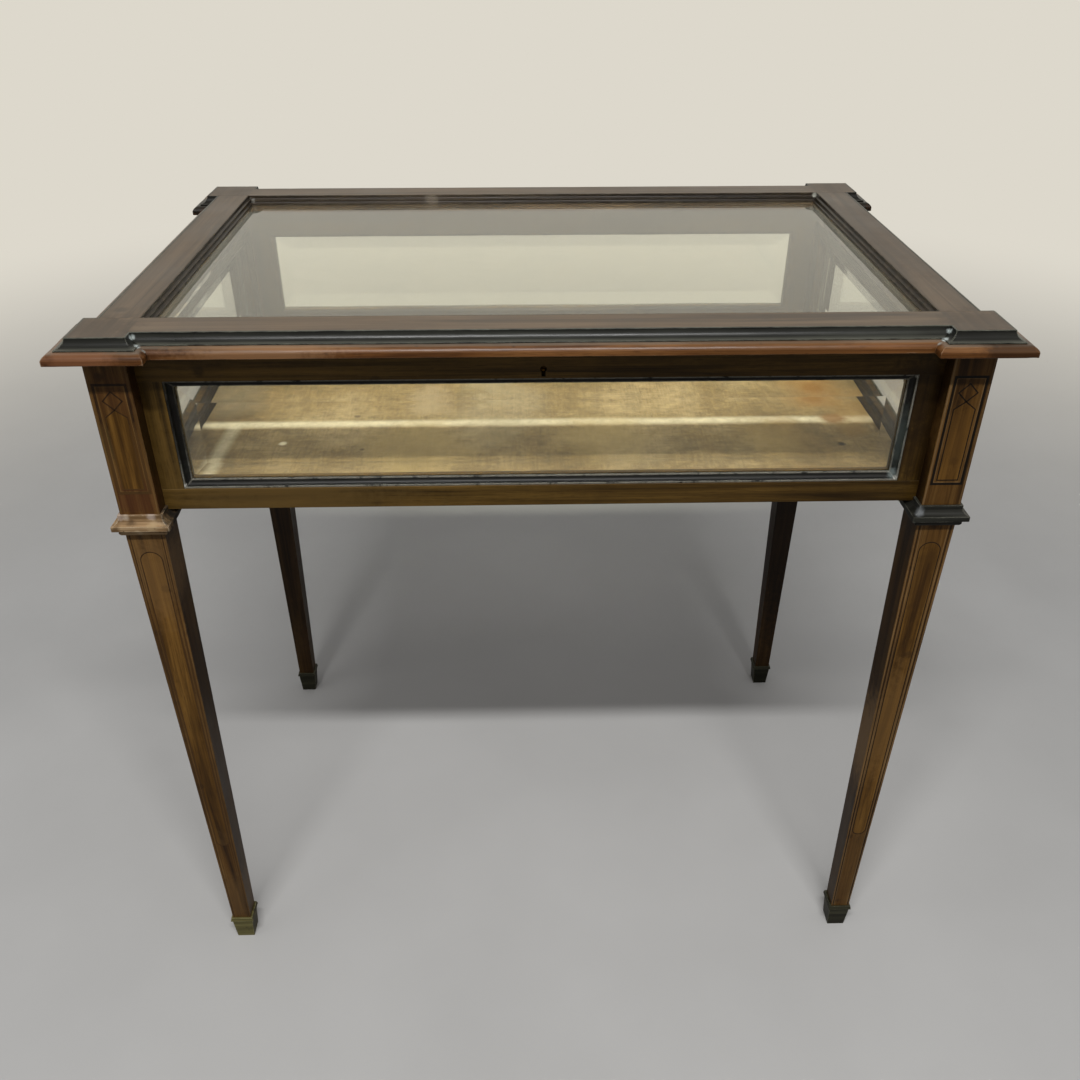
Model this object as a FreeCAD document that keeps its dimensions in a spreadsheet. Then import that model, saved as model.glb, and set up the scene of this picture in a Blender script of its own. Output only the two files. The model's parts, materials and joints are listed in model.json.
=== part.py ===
"""Collectors display table: a glazed case on four tapered legs, under a hinged glazed lid.

Millimetres. The origin is on the floor under the middle of the table, +Z is up, the front
faces -Y and +X is to the right. The sheet "Sizes" holds every driving dimension, and every
sub-part's own dimensions and place are expressions of it. A sub-part's label names its file.
"""
import FreeCAD
import Part
import Sketcher
import math
import os
import re

Vector = FreeCAD.Vector
Rotation = FreeCAD.Rotation
UP = Vector(0, 0, 1)
RIGHT = Vector(1, 0, 0)
BACK = Vector(0, 1, 0)

# ---- driving dimensions, one cell of the sheet each ----
sizes = {
    # the whole table
    "table_height": 760,          # floor to the top of the lid
    "leg_spread_x": 711.4,        # between the centres of the legs, left to right
    "leg_spread_y": 447.2,        # between the centres of the legs, front to back
    "case_height": 147.7,         # underside of the case's rails to the top of the legs

    # legs
    "leg_block": 35.2,            # width of the square block at the top of a leg
    "shaft_top": 34.9,            # width of the tapered shaft under the collar
    "shaft_foot": 20.9,           # width of the tapered shaft at the top of the cuff
    "spigot": 15.4,               # width of the leg's end inside the cuff

    # collars
    "collar_drop": 16,            # underside of the case to the underside of a collar
    "collar_height": 20.3,        # height of the collar moulding
    "collar_reach": 8,            # how far its lip stands out from the block
    "collar_lip": 5,              # height of the upright lip
    "collar_neck": 3.8,           # how far the step under the lip stands out
    "collar_neck_height": 6.5,    # underside of the collar to its lip
    "collar_bevel": 1.2,          # width of the bevel under the step
    "collar_bevel_height": 2,     # height of the bevel under the step
    "collar_fillet": 2.2,         # how far the top fillet stands out
    "collar_fillet_height": 3.8,  # height of the top fillet
    "collar_radius": 6.5,         # radius of the hollow between lip and top fillet

    # foot cuffs
    "cuff_height": 34.7,          # floor to the top of a cuff
    "cuff_flange_height": 4.8,    # height of the flange round its top
    "cuff_flange": 26.6,          # width across the flange
    "cuff_flange_top": 24.6,      # width across the flange at its top edge
    "cuff_top": 23.4,             # width of the cuff under its flange
    "cuff_foot": 19.6,            # width of the cuff on the floor
    "cuff_floor": 4,              # thickness of the cuff under the end of the leg

    # glazed frames of the case
    "frame_setback": 15.15,       # outer face of a leg's block to the face of the frame
    "stile_width": 20.1,          # width of a stile beside a leg
    "bottom_rail_width": 20.5,    # height of a bottom rail
    "top_rail_width": 24.7,       # height of a top rail
    "tenon_length": 5.2,          # length of the stub tenons
    "tenon_thickness": 8,         # thickness of the stub tenons
    "tenon_shoulder": 4,          # edge of the rail to the edge of its tenon

    # panes, beads and stops
    "pane_thickness": 4.5,        # thickness of a pane
    "pane_edge": 2.5,             # thickness of a pane at its bevelled edge
    "pane_bevel": 22,             # width of a pane's bevel
    "pane_depth": 6.6,            # face of the frame to the flat of the pane
    "pane_clearance": 0.5,        # gap round a pane
    "bead_width": 6.8,            # width of the glazing bead and of the inner stop
    "bead_setback": 0.8,          # face of the frame to the bead's outer fillet
    "bead_fillet": 1.5,           # width of the bead's outer fillet
    "bead_step": 0.8,             # drop from the fillet to the bead's hollow
    "bead_hollow": 4,             # depth of the bead's hollow
    "bead_radius": 4.4,           # radius of the bead's hollow
    "bead_lip": 1.3,              # width of the bead's flat beside the glass
    "stop_round": 4,              # radius of the inner stop's rounded edge
    "putty": 0.05,                # putty between a bead or moulding and its glass

    # floor of the case
    "batten_width": 12,           # width of the battens under the base board
    "batten_height": 7,           # height of the battens
    "batten_setback": 0.8,        # underside of the case to the underside of the battens
    "batten_end": 3,              # end of a long batten to the leg, clear of the collar
    "board_thickness": 6,         # thickness of the base board
    "board_clearance": 0.3,       # gap round the base board
    "lining_thickness": 2.2,      # thickness of the fabric lining with its felt
    "lining_clearance": 0.4,      # gap round the lining

    # lid frame
    "lid_thickness": 22,          # thickness of the lid's rails
    "lid_gap": 0.3,               # gap between the closed lid and the case
    "block_overhang_x": 4.8,      # side of a leg to the side of the lid's corner block
    "block_overhang_y": 5,        # front of a leg to the front of the lid's corner block
    "block_step": 11.6,           # how far the corner blocks break forward of the rails
    "block_length": 45.6,         # length of a corner block along the front
    "lid_rail_x": 33.2,           # width of a side rail of the lid
    "lid_rail_y": 31.1,           # width of the front and back rails of the lid
    "lid_tenon_length": 16,       # length of the tenons of the lid's side rails
    "lid_tenon_thickness": 7,     # thickness of those tenons
    "lid_tenon_shoulder": 7,      # side of the rail to the side of its tenon
    "ledge_width": 4.7,           # width of the ledge under the lid's glass
    "ledge_height": 8.4,          # height of that ledge

    # lid glass and the stepped moulding round it
    "glass_thickness": 5,         # thickness of the lid's glass
    "glass_edge": 3,              # thickness of the lid's glass at its bevelled edge
    "glass_bevel": 22,            # width of the bevel
    "glass_clearance": 0.4,       # gap round the lid's glass
    "inner_tread": 1.9,           # width of each step of the inner moulding
    "inner_foot": 1.7,            # height of its lip beside the glass
    "inner_rise": 2.2,            # height and radius of its two hollows
    "inner_upright": 1.7,         # height of the upright between the hollows

    # cove and thumb mouldings round the lid's edge
    "cove_height": 9,             # height of the ebonised cove
    "cove_reach": 9.2,            # how far it stands out from the flat of the lid
    "cove_lip": 1.2,              # height of its lower edge
    "cove_fillet": 1.8,           # width of the fillet along its top
    "cove_drop": 1,               # height of that fillet
    "cove_radius": 8,             # radius of its hollow
    "thumb_height": 9,            # height of the thumb moulding
    "thumb_reach": 17.1,          # how far it stands out from the flat of the lid
    "thumb_lip": 4.4,             # height to the top of its upright lip
    "thumb_edge": 1,              # radius under the lip
    "thumb_round": 6.4,           # width of its rounded shoulder
    "thumb_radius": 6.8,          # radius of the shoulder

    # hinges
    "hinge_inset": 109.1,         # leg to the middle of a hinge
    "hinge_length": 50,           # length of a hinge
    "hinge_reach": 20.95,         # back of the case to the hinge's pin
    "leaf_thickness": 1.8,        # thickness of a leaf
    "leaf_margin": 2,             # inner face of the back rail to the edge of a leaf
    "knuckle_radius": 3.2,        # outer radius of the knuckles
    "knuckle_gap": 0.3,           # gap beside a knuckle
    "pin_radius": 1.5,            # radius of the hinge pin
    "pin_clearance": 0.05,        # radial clearance of the pin in the lid's knuckle

    # screws
    "screw_head_radius": 2.9,     # radius of a countersunk head
    "screw_head_height": 1.5,     # height of a head
    "screw_radius": 1.4,          # radius of a shank
    "screw_length": 12,           # length of a screw
    "screw_slot": 0.7,            # width and depth of a screw's slot
    "screw_sink": 0.1,            # face of the plate to the head
    "screw_spacing": 16,          # between the screws of a leaf
    "screw_margin": 10.35,        # inner edge of a leaf to its screws

    # lid lock
    "lock_width": 44,             # width of the lock's body
    "lock_depth": 8.9,            # thickness of the lock's body
    "lock_height": 21,            # height of the lock's body under its top plate
    "lock_wall": 1.2,             # wall of the lock's body
    "lock_fit": 0.1,              # gap round the lock in its mortise
    "lock_plate_length": 62,      # length of the top plate
    "lock_plate_width": 12.4,     # width of the top plate
    "lock_plate_thickness": 2,    # thickness of the top plate
    "lock_screw_inset": 4.5,      # end of the top plate to its screw
    "key_pin_radius": 1,          # radius of the pin that the key turns on

    # bolt of the lock
    "bolt_travel": 6,             # how far the bolt slides
    "bolt_standoff": 0.7,         # gap between the drawn bolt and the eye
    "bolt_shoulder": 1,           # gap between the shot bolt's shoulder and the eye
    "bolt_room": 1.8,             # gap behind the drawn bolt
    "bolt_height": 12.4,          # height of the bolt's body
    "bolt_clearance": 0.3,        # gap round the bolt in the lock
    "tongue_thickness": 2.4,      # thickness of the bolt's tongue
    "tongue_height": 3,           # height of the bolt's tongue
    "talon": 3,                   # width and depth of the notch that the key turns in

    # link plate on the lid, with the eye that the bolt goes through
    "link_length": 40,            # length of the link plate
    "link_width": 10.5,           # width of the link plate
    "link_thickness": 1.6,        # thickness of the link plate
    "link_screw_inset": 6,        # end of the link plate to its screw
    "eye_thickness": 2.5,         # thickness of the eye
    "eye_width": 5.2,             # width of the eye
    "eye_drop": 10,               # underside of the lid to the tip of the eye
    "eye_hole": 3.2,              # width of the hole in the eye
    "eye_hole_height": 4.2,       # height of the hole in the eye
    "eye_rim": 1.8,               # metal under the hole
    "eye_clearance": 1.2,         # gap beside the eye in the lock's top plate

    # keyhole
    "keyhole_fall": 16.7,         # top of the case to the round of the keyhole
    "keyhole_radius": 2.2,        # radius of the round
    "keyhole_slot": 2.4,          # width of the slot
    "keyhole_drop": 6,            # middle of the round to the foot of the slot
    "liner_wall": 0.7,            # wall of the keyhole's metal liner
    "liner_depth": 3,             # depth of the liner
}

doc = FreeCAD.newDocument("display_table")
sheet = doc.addObject("Spreadsheet::Sheet", "Sizes")
for row, (alias, value) in enumerate(sizes.items(), 1):
    sheet.set(f"A{row}", alias)
    sheet.set(f"B{row}", str(value))
    sheet.setAlias(f"B{row}", alias)
doc.recompute()

# ---- places and sizes that follow from the driving dimensions ----
places = {
    # heights
    "lid_underside": "table_height - lid_thickness",
    "case_top": "lid_underside - lid_gap",
    "case_foot": "case_top - case_height",
    "collar_low": "case_foot - collar_drop",
    "opening_low": "case_foot + bottom_rail_width",
    "opening_high": "case_top - top_rail_width",
    "opening_height": "opening_high - opening_low",
    "opening_middle": "(opening_high + opening_low) / 2",
    "batten_low": "case_foot + batten_setback",
    "board_low": "batten_low + batten_height",
    "lining_low": "board_low + board_thickness",
    "glass_low": "lid_underside + ledge_height",
    "cove_low": "table_height - cove_height",
    "thumb_low": "cove_low - thumb_height",
    # plan of the case: outer faces of the blocks, faces and inner faces of the frames
    "leg_face_x": "leg_spread_x / 2 + leg_block / 2",
    "leg_face_y": "leg_spread_y / 2 + leg_block / 2",
    "face_x": "leg_face_x - frame_setback",
    "face_y": "leg_face_y - frame_setback",
    "frame_thickness": "leg_block - frame_setback",
    "gap_x": "leg_spread_x - leg_block",
    "gap_y": "leg_spread_y - leg_block",
    "inner_x": "gap_x / 2",
    "inner_y": "gap_y / 2",
    # depths in the frames
    "pane_drop": "pane_thickness - pane_edge",
    "bead_bevel": "pane_drop * (1 - (bead_width - pane_clearance) / pane_bevel)",
    "bead_depth": "pane_depth + bead_bevel - putty",
    "bead_face": "bead_depth - bead_setback",
    "stop_depth": "frame_thickness - pane_depth - pane_thickness",
    # plan of the lid
    "block_x": "leg_face_x + block_overhang_x",
    "block_y": "leg_face_y + block_overhang_y",
    "lid_side_x": "block_x - block_step",
    "lid_side_y": "block_y - block_step",
    "lid_inner_x": "lid_side_x - lid_rail_x",
    "lid_inner_y": "lid_side_y - lid_rail_y",
    "lid_run_x": "block_x - block_length",
    "block_depth": "block_y - lid_inner_y",
    # lid glass
    "glass_x": "2 * (lid_inner_x - glass_clearance)",
    "glass_y": "2 * (lid_inner_y - glass_clearance)",
    "glass_drop": "glass_thickness - glass_edge",
    "inner_low": "glass_low + glass_edge + putty"
                 " + glass_drop * (ledge_width - glass_clearance) / glass_bevel",
    "inner_height": "table_height - inner_low",
    # hinges
    "hinge_x": "inner_x - hinge_inset",
    "hinge_y": "face_y + hinge_reach",
    "hinge_z": "lid_underside - lid_gap / 2",
    "leaf_y": "inner_y + leaf_margin",
    "knuckle_length": "(hinge_length - 2 * knuckle_gap) / 3",
    # lock
    "lock_y": "inner_y + lock_depth / 2",
    "lock_plate_low": "case_top - lock_plate_thickness",
    "lock_low": "lock_plate_low - lock_height",
    "eye_tip": "lid_underside - eye_drop",
    "eye_middle": "eye_tip + eye_rim + eye_hole_height / 2",
    "bolt_right": "-(bolt_travel + bolt_shoulder)",
    "bolt_left": "-(lock_width / 2 - lock_wall - bolt_room)",
    "talon_middle": "(bolt_left + bolt_right) / 2",
    "bolt_top": "lock_plate_low - bolt_clearance",
    "bolt_low": "bolt_top - bolt_height",
    "keyhole_z": "case_top - keyhole_fall",
}
FACES = ("front", "right", "back", "left")
node_names = []


def tied(text):
    """The expression with its places written out and its sizes read from the sheet."""
    def read(word):
        if word[0] in places:
            return f"({tied(places[word[0]])})"
        return f"Sizes.{word[0]}" if word[0] in sizes else word[0]
    return re.sub(r"[a-z_]+", read, text)


def turned(x, y, side):
    """A point of the front, moved to a side by turning it about the upright middle line."""
    return {"front": (x, y), "right": (f"-({y})", x), "back": (f"-({x})", f"-({y})"),
            "left": (y, f"-({x})")}[side]


def facing(side):
    """The rotation that takes what faces the front to a side."""
    return Rotation(UP, 90 * FACES.index(side))


def place(part, at, side="front", rotation=None):
    """Set a piece where it would stand on the front, then move it to its side."""
    part.Placement = FreeCAD.Placement(Vector(), facing(side) * (rotation or Rotation()))
    for axis, text in zip("xyz", (*turned(*at[:2], side), at[2])):
        part.setExpression(f"Placement.Base.{axis}", tied(text))
    return part


def box(name, x, y, z, side="front"):
    """A block between two corners, given as (low, high) along each axis."""
    block = doc.addObject("Part::Box", name)
    for edge, (low, high) in zip(("Length", "Width", "Height"), (x, y, z)):
        block.setExpression(edge, tied(f"({high}) - ({low})"))
    return place(block, (x[0], y[0], z[0]), side)


def cylinder(name, radius, height, at, along=UP):
    bar = doc.addObject("Part::Cylinder", name)
    bar.setExpression("Radius", tied(radius))
    bar.setExpression("Height", tied(height))
    return place(bar, at, rotation=Rotation(UP, along))


def cone(name, radius, end_radius, height, at, along):
    taper = doc.addObject("Part::Cone", name)
    taper.setExpression("Radius1", tied(radius))
    taper.setExpression("Radius2", tied(end_radius))
    taper.setExpression("Height", tied(height))
    return place(taper, at, rotation=Rotation(UP, along))


def frustum(name, start, end, length, at, side="front", outward=False):
    """A tapered block on a middle line that rises, or points outward.

    The start and the end are given as (width, depth) across the line.
    """
    taper = doc.addObject("Part::Wedge", name)
    corners = ((start, "Xmin", "Xmax", "Zmin", "Zmax"), (end, "X2min", "X2max", "Z2min", "Z2max"))
    for (width, depth), *limits in corners:
        for limit, span in zip(limits, (f"-({width})", f"({width})", f"-({depth})", f"({depth})")):
            taper.setExpression(limit, tied(f"{span} / 2"))
    taper.Ymin = 0
    taper.setExpression("Ymax", tied(length))
    return place(taper, at, side, Rotation(UP, 180) if outward else Rotation(RIGHT, 90))


def fuse(name, parts):
    joined = doc.addObject("Part::MultiFuse", name)
    joined.Shapes = parts
    joined.Refine = True
    return joined


def cut(name, base, hollows):
    """A piece less its hollows, which are joined first."""
    carved = doc.addObject("Part::Cut", name)
    carved.Base = base
    carved.Tool = hollows[0] if len(hollows) == 1 else fuse(f"{name}_hollows", hollows)
    carved.Refine = True
    return carved


def group(name, parts):
    together = doc.addObject("Part::Compound", name)
    together.Links = parts
    return together


def node(part, name):
    """Name a finished sub-part, and with it its file."""
    part.Label = name
    node_names.append(name)
    return part


def outline(name, corners):
    """A closed sketch whose corners are tied to the sheet.

    A corner is (x, y), or (x, y, radius, side) where an arc leads to it: the side is where
    the arc's centre lies, seen along the way round the outline.
    """
    sketch = doc.addObject("Sketcher::SketchObject", name)
    spots = [Vector(sketch.evalExpression(tied(x)), sketch.evalExpression(tied(y)), 0)
             for x, y, *_ in corners]
    ends = []
    for number, start in enumerate(spots):
        following = (number + 1) % len(spots)
        end = spots[following]
        if len(corners[following]) == 2:
            sketch.addGeometry(Part.LineSegment(start, end), False)
            ends.append((1, 2))
            continue
        radius_text, side = corners[following][2:]
        radius = sketch.evalExpression(tied(radius_text))
        chord = end - start
        to_centre = math.sqrt(radius ** 2 - chord.Length ** 2 / 4)
        way = 1 if side == "left" else -1
        centre = (start + end) / 2 + Vector(-chord.y, chord.x, 0).normalize() * way * to_centre
        first, last = (start, end) if side == "left" else (end, start)
        angles = [math.atan2(spot.y - centre.y, spot.x - centre.x) for spot in (first, last)]
        if angles[1] < angles[0]:
            angles[1] += 2 * math.pi
        sketch.addGeometry(Part.ArcOfCircle(Part.Circle(centre, UP, radius), *angles), False)
        ends.append((1, 2) if side == "left" else (2, 1))
        constraint = sketch.addConstraint(Sketcher.Constraint("Radius", number, radius))
        sketch.setExpression(f"Constraints[{constraint}]", tied(radius_text))
    for number, spot in enumerate(spots):
        following = (number + 1) % len(spots)
        sketch.addConstraint(Sketcher.Constraint(
            "Coincident", number, ends[number][1], following, ends[following][0]))
        for kind, text, value in zip(("DistanceX", "DistanceY"), corners[number], spot):
            constraint = sketch.addConstraint(Sketcher.Constraint(
                kind, -1, 1, number, ends[number][0], value))
            sketch.setExpression(f"Constraints[{constraint}]", tied(text))
    return sketch


def extrusion(name, sketch, length):
    """A sketch pulled out to both sides of its plane."""
    body = doc.addObject("Part::Extrusion", name)
    body.Base = sketch
    body.DirMode = "Normal"
    body.Solid = True
    body.Symmetric = True
    body.setExpression("LengthFwd", tied(length))
    return body


def strip(name, section, length, reach, height, mitres, at, side="front", tilt=None):
    """A length of moulding along X that faces the front, before it is tilted and moved.

    The section's first axis is the way out and its second is up. A mitre is +1 where it
    makes the strip longer on its outer side, and -1 where it makes it shorter.
    """
    profile = outline(f"{name}_section", section)
    profile.Placement.Rotation = Rotation(-BACK, UP, -RIGHT, "ZYX")
    bar = extrusion(f"{name}_bar", profile, f"({length}) + 2 * ({reach})")
    left, right = mitres
    plan = outline(f"{name}_plan", [
        (f"-({length}) / 2", "0"), (f"-({length}) / 2 - {left} * ({reach})", f"-({reach})"),
        (f"({length}) / 2 + {right} * ({reach})", f"-({reach})"), (f"({length}) / 2", "0")])
    slab = extrusion(f"{name}_slab", plan, f"2 * ({height})")
    moulding = doc.addObject("Part::Common", name)
    moulding.Base = bar
    moulding.Tool = slab
    return place(moulding, at, side, tilt)


def ring(name, section, opening, reach, depth, back, side):
    """Four mitred strips round an upright opening (width, height), facing its middle.

    The section's first axis is the way in from the opening's edge and its second the way
    out of the case. The strips' back stands at that distance from the table's middle.
    """
    strips = []
    for way in FACES:
        length, span = opening if way in ("front", "back") else opening[::-1]
        across, rise = turned("0", f"({span}) / 2", way)
        at = (across, f"-({back})", f"opening_middle + ({rise})")
        tilt = Rotation(RIGHT, 90) * facing(way)
        strips.append(strip(f"{name}_{way}", section, length, reach, depth, (-1, -1), at, side, tilt))
    return strips


# ---- case frames: rails and stiles, with panes, beads and stops, on each side ----
bead_section = [
    ("0", "0"), ("bead_width", "0"), ("bead_width", "bead_face - bead_step - bead_hollow"),
    ("bead_width - bead_lip", "bead_face - bead_step - bead_hollow"),
    ("bead_fillet", "bead_face - bead_step", "bead_radius", "right"),
    ("bead_fillet", "bead_face"), ("0", "bead_face")]
stop_section = [
    ("0", "0"), ("bead_width - stop_round", "0"), ("bead_width", "stop_round", "stop_round", "left"),
    ("bead_width", "stop_depth"), ("0", "stop_depth")]
rails = {}
tenons = {}
stops = []
for side in FACES:
    gap, face = ("gap_x", "face_y") if side in ("front", "back") else ("gap_y", "face_x")
    depth = (f"-{face}", f"-({face} - frame_thickness)")
    tenon_y = (f"-({face} - (frame_thickness - tenon_thickness) / 2)",
               f"-({face} - (frame_thickness + tenon_thickness) / 2)")
    for level, low, high in (("top", "opening_high", "case_top"), ("bottom", "case_foot", "opening_low")):
        bar = box(f"{side}_{level}_bar", (f"-{gap} / 2", f"{gap} / 2"), depth, (low, high), side)
        tenon_z = (f"{low} + tenon_shoulder", f"{high} - tenon_shoulder")
        spans = ((f"-{gap} / 2 - tenon_length", f"-{gap} / 2"), (f"{gap} / 2", f"{gap} / 2 + tenon_length"))
        tenons[side, level] = [box(f"{side}_{level}_tenon_{number}", span, tenon_y, tenon_z, side)
                               for number, span in enumerate(spans)]
        rails[side, level] = fuse(f"{side}_{level}_rail_wood", [bar] + tenons[side, level])
    spans = ((f"-{gap} / 2", f"-{gap} / 2 + stile_width"), (f"{gap} / 2 - stile_width", f"{gap} / 2"))
    stiles = [box(f"{side}_stile_{number}", span, depth, ("opening_low", "opening_high"), side)
              for number, span in enumerate(spans)]
    node(group(f"{side}_stile_pair", stiles), f"{side}_stiles")

    width = f"({gap} - 2 * stile_width)"
    plate = (f"{width} - 2 * pane_clearance", "opening_height - 2 * pane_clearance")
    flat = tuple(f"{span} - 2 * pane_bevel" for span in plate)
    bevel_y = f"-({face} - pane_depth - pane_drop)"
    pane_back = box(f"{side}_pane_back", (f"-({plate[0]}) / 2", f"({plate[0]}) / 2"),
                    (bevel_y, f"-({face} - pane_depth - pane_thickness)"),
                    ("opening_low + pane_clearance", "opening_high - pane_clearance"), side)
    pane_front = frustum(f"{side}_pane_front", plate, flat, "pane_drop",
                         ("0", bevel_y, "opening_middle"), side, outward=True)
    node(fuse(f"{side}_pane_glass", [pane_back, pane_front]), f"{side}_pane")

    opening = (width, "opening_height")
    beads = ring(f"{side}_bead", bead_section, opening, "bead_width", "bead_depth",
                 f"{face} - bead_depth", side)
    node(group(f"{side}_bead_set", beads), f"{side}_bead")
    stops += ring(f"{side}_stop", stop_section, opening, "bead_width", "stop_depth",
                  f"{face} - frame_thickness", side)
node(group("stop_set", stops), "pane_stops")

# ---- legs, with mortises for the rails' tenons, their collars and foot cuffs ----
collar_section = [
    ("0", "0"), ("collar_neck - collar_bevel", "0"), ("collar_neck", "collar_bevel_height"),
    ("collar_neck", "collar_neck_height"), ("collar_reach", "collar_neck_height"),
    ("collar_reach", "collar_neck_height + collar_lip"),
    ("collar_fillet", "collar_height - collar_fillet_height", "collar_radius", "right"),
    ("collar_fillet", "collar_height"), ("0", "collar_height")]
for right, rear, joints in ((-1, -1, (("front", 0), ("left", 1))), (1, -1, (("front", 1), ("right", 0))),
                            (1, 1, (("back", 0), ("right", 1))), (-1, 1, (("back", 1), ("left", 0)))):
    corner = f"{'back' if rear > 0 else 'front'}_{'right' if right > 0 else 'left'}"
    x, y = f"{right} * leg_spread_x / 2", f"{rear} * leg_spread_y / 2"

    def square(name, width, low, high):
        """A square bar on the leg's middle line."""
        return box(f"{corner}_{name}", (f"{x} - {width} / 2", f"{x} + {width} / 2"),
                   (f"{y} - {width} / 2", f"{y} + {width} / 2"), (low, high))

    def tapered(name, width, top_width, low, high):
        """A square bar on the leg's middle line that tapers on all four faces."""
        return frustum(f"{corner}_{name}", (width, width), (top_width, top_width),
                       f"{high} - ({low})", (x, y, low))

    block = square("block", "leg_block", "collar_low", "case_top")
    shaft = tapered("shaft", "shaft_foot", "shaft_top", "cuff_height", "collar_low")
    end = square("end", "spigot", "cuff_floor", "cuff_height")
    mortises = [tenons[side, level][number] for side, number in joints for level in ("top", "bottom")]
    wood = fuse(f"{corner}_leg_wood", [block, shaft, end])
    node(cut(f"{corner}_leg", wood, mortises), f"leg_{corner}")

    strips = []
    for way in FACES:
        across, out = turned("0", "-leg_block / 2", way)
        strips.append(strip(f"{corner}_collar_{way}", collar_section, "leg_block", "collar_reach",
                            "collar_height", (1, 1), (f"{x} + {across}", f"{y} + {out}", "collar_low"),
                            tilt=facing(way)))
    case_rails = [rails[side, "bottom"] for side, _ in joints]
    node(cut(f"{corner}_collar", group(f"{corner}_collar_ring", strips), case_rails), f"collar_{corner}")

    flange = tapered("flange", "cuff_flange", "cuff_flange_top", "cuff_height - cuff_flange_height",
                     "cuff_height")
    cup = tapered("cup", "cuff_foot", "cuff_top", "0", "cuff_height - cuff_flange_height")
    node(cut(f"{corner}_cuff", fuse(f"{corner}_cuff_wood", [flange, cup]), [end]), f"foot_cuff_{corner}")

# ---- floor of the case: battens, board and lining ----
battens = []
for side in FACES:
    along, wall = ("inner_x", "inner_y") if side in ("front", "back") else ("inner_y", "inner_x")
    end = f"{along} - {'batten_end' if side in ('front', 'back') else 'batten_width'}"
    battens.append(box(f"{side}_batten", (f"-({end})", end), (f"-{wall}", f"-({wall} - batten_width)"),
                       ("batten_low", "board_low"), side))
node(group("batten_set", battens), "base_battens")
for name, low, thickness in (("base_board", "board_low", "board_thickness"),
                             ("lining", "lining_low", "lining_thickness")):
    clearance = "board_clearance" if name == "base_board" else "lining_clearance"
    node(box(name, (f"-(inner_x - {clearance})", f"inner_x - {clearance}"),
             (f"-(inner_y - {clearance})", f"inner_y - {clearance}"), (low, f"{low} + {thickness}")), name)

# ---- lid: side rails with the tenons that join the front and back rails ----
ledge_z = ("lid_underside", "glass_low")
tenon_z = ("lid_underside + (lid_thickness - lid_tenon_thickness) / 2",
           "lid_underside + (lid_thickness + lid_tenon_thickness) / 2")
lid_tenons = {}
for side in ("right", "left"):
    bar = box(f"lid_{side}_bar", ("-lid_inner_y", "lid_inner_y"), ("-lid_side_x", "-lid_inner_x"),
              ("lid_underside", "table_height"), side)
    ledge = box(f"lid_{side}_ledge", ("-(lid_inner_y - ledge_width)", "lid_inner_y - ledge_width"),
                ("-lid_inner_x", "-(lid_inner_x - ledge_width)"), ledge_z, side)
    tenon_y = ("-(lid_side_x - lid_tenon_shoulder)", "-(lid_inner_x + lid_tenon_shoulder)")
    spans = (("-(lid_inner_y + lid_tenon_length)", "-lid_inner_y"),
             ("lid_inner_y", "lid_inner_y + lid_tenon_length"))
    lid_tenons[side] = [box(f"lid_{side}_tenon_{number}", span, tenon_y, tenon_z, side)
                        for number, span in enumerate(spans)]
    node(fuse(f"lid_{side}_wood", [bar, ledge] + lid_tenons[side]), f"lid_{side}_rail")

# ---- lid: bevelled glass, and the stepped moulding round it ----
glass_back = box("lid_glass_back", ("-glass_x / 2", "glass_x / 2"), ("-glass_y / 2", "glass_y / 2"),
                 ("glass_low", "glass_low + glass_edge"))
glass_flat = frustum("lid_glass_flat", ("glass_x", "glass_y"),
                     ("glass_x - 2 * glass_bevel", "glass_y - 2 * glass_bevel"), "glass_drop",
                     ("0", "0", "glass_low + glass_edge"))
node(fuse("lid_glass_plate", [glass_back, glass_flat]), "lid_glass")

step_high = "inner_foot + 2 * inner_rise + inner_upright"
inner_section = [
    ("0", "0"), ("ledge_width", "0"), ("ledge_width", "inner_foot"),
    ("ledge_width - inner_tread", "inner_foot + inner_rise", "inner_rise", "right"),
    ("ledge_width - inner_tread", "inner_foot + inner_rise + inner_upright"),
    ("ledge_width - 2 * inner_tread", step_high, "inner_rise", "right"),
    ("ledge_width - 2 * inner_tread", "inner_height"), ("0", "inner_height")]
inner_strips = []
for side in FACES:
    along, wall = ("lid_inner_x", "lid_inner_y")[::1 if side in ("front", "back") else -1]
    inner_strips.append(strip(f"lid_inner_{side}", inner_section, f"2 * {along}", "ledge_width",
                              "inner_height", (-1, -1), ("0", wall, "inner_low"), side))
node(group("lid_inner_set", inner_strips), "lid_inner_moulding")

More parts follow.
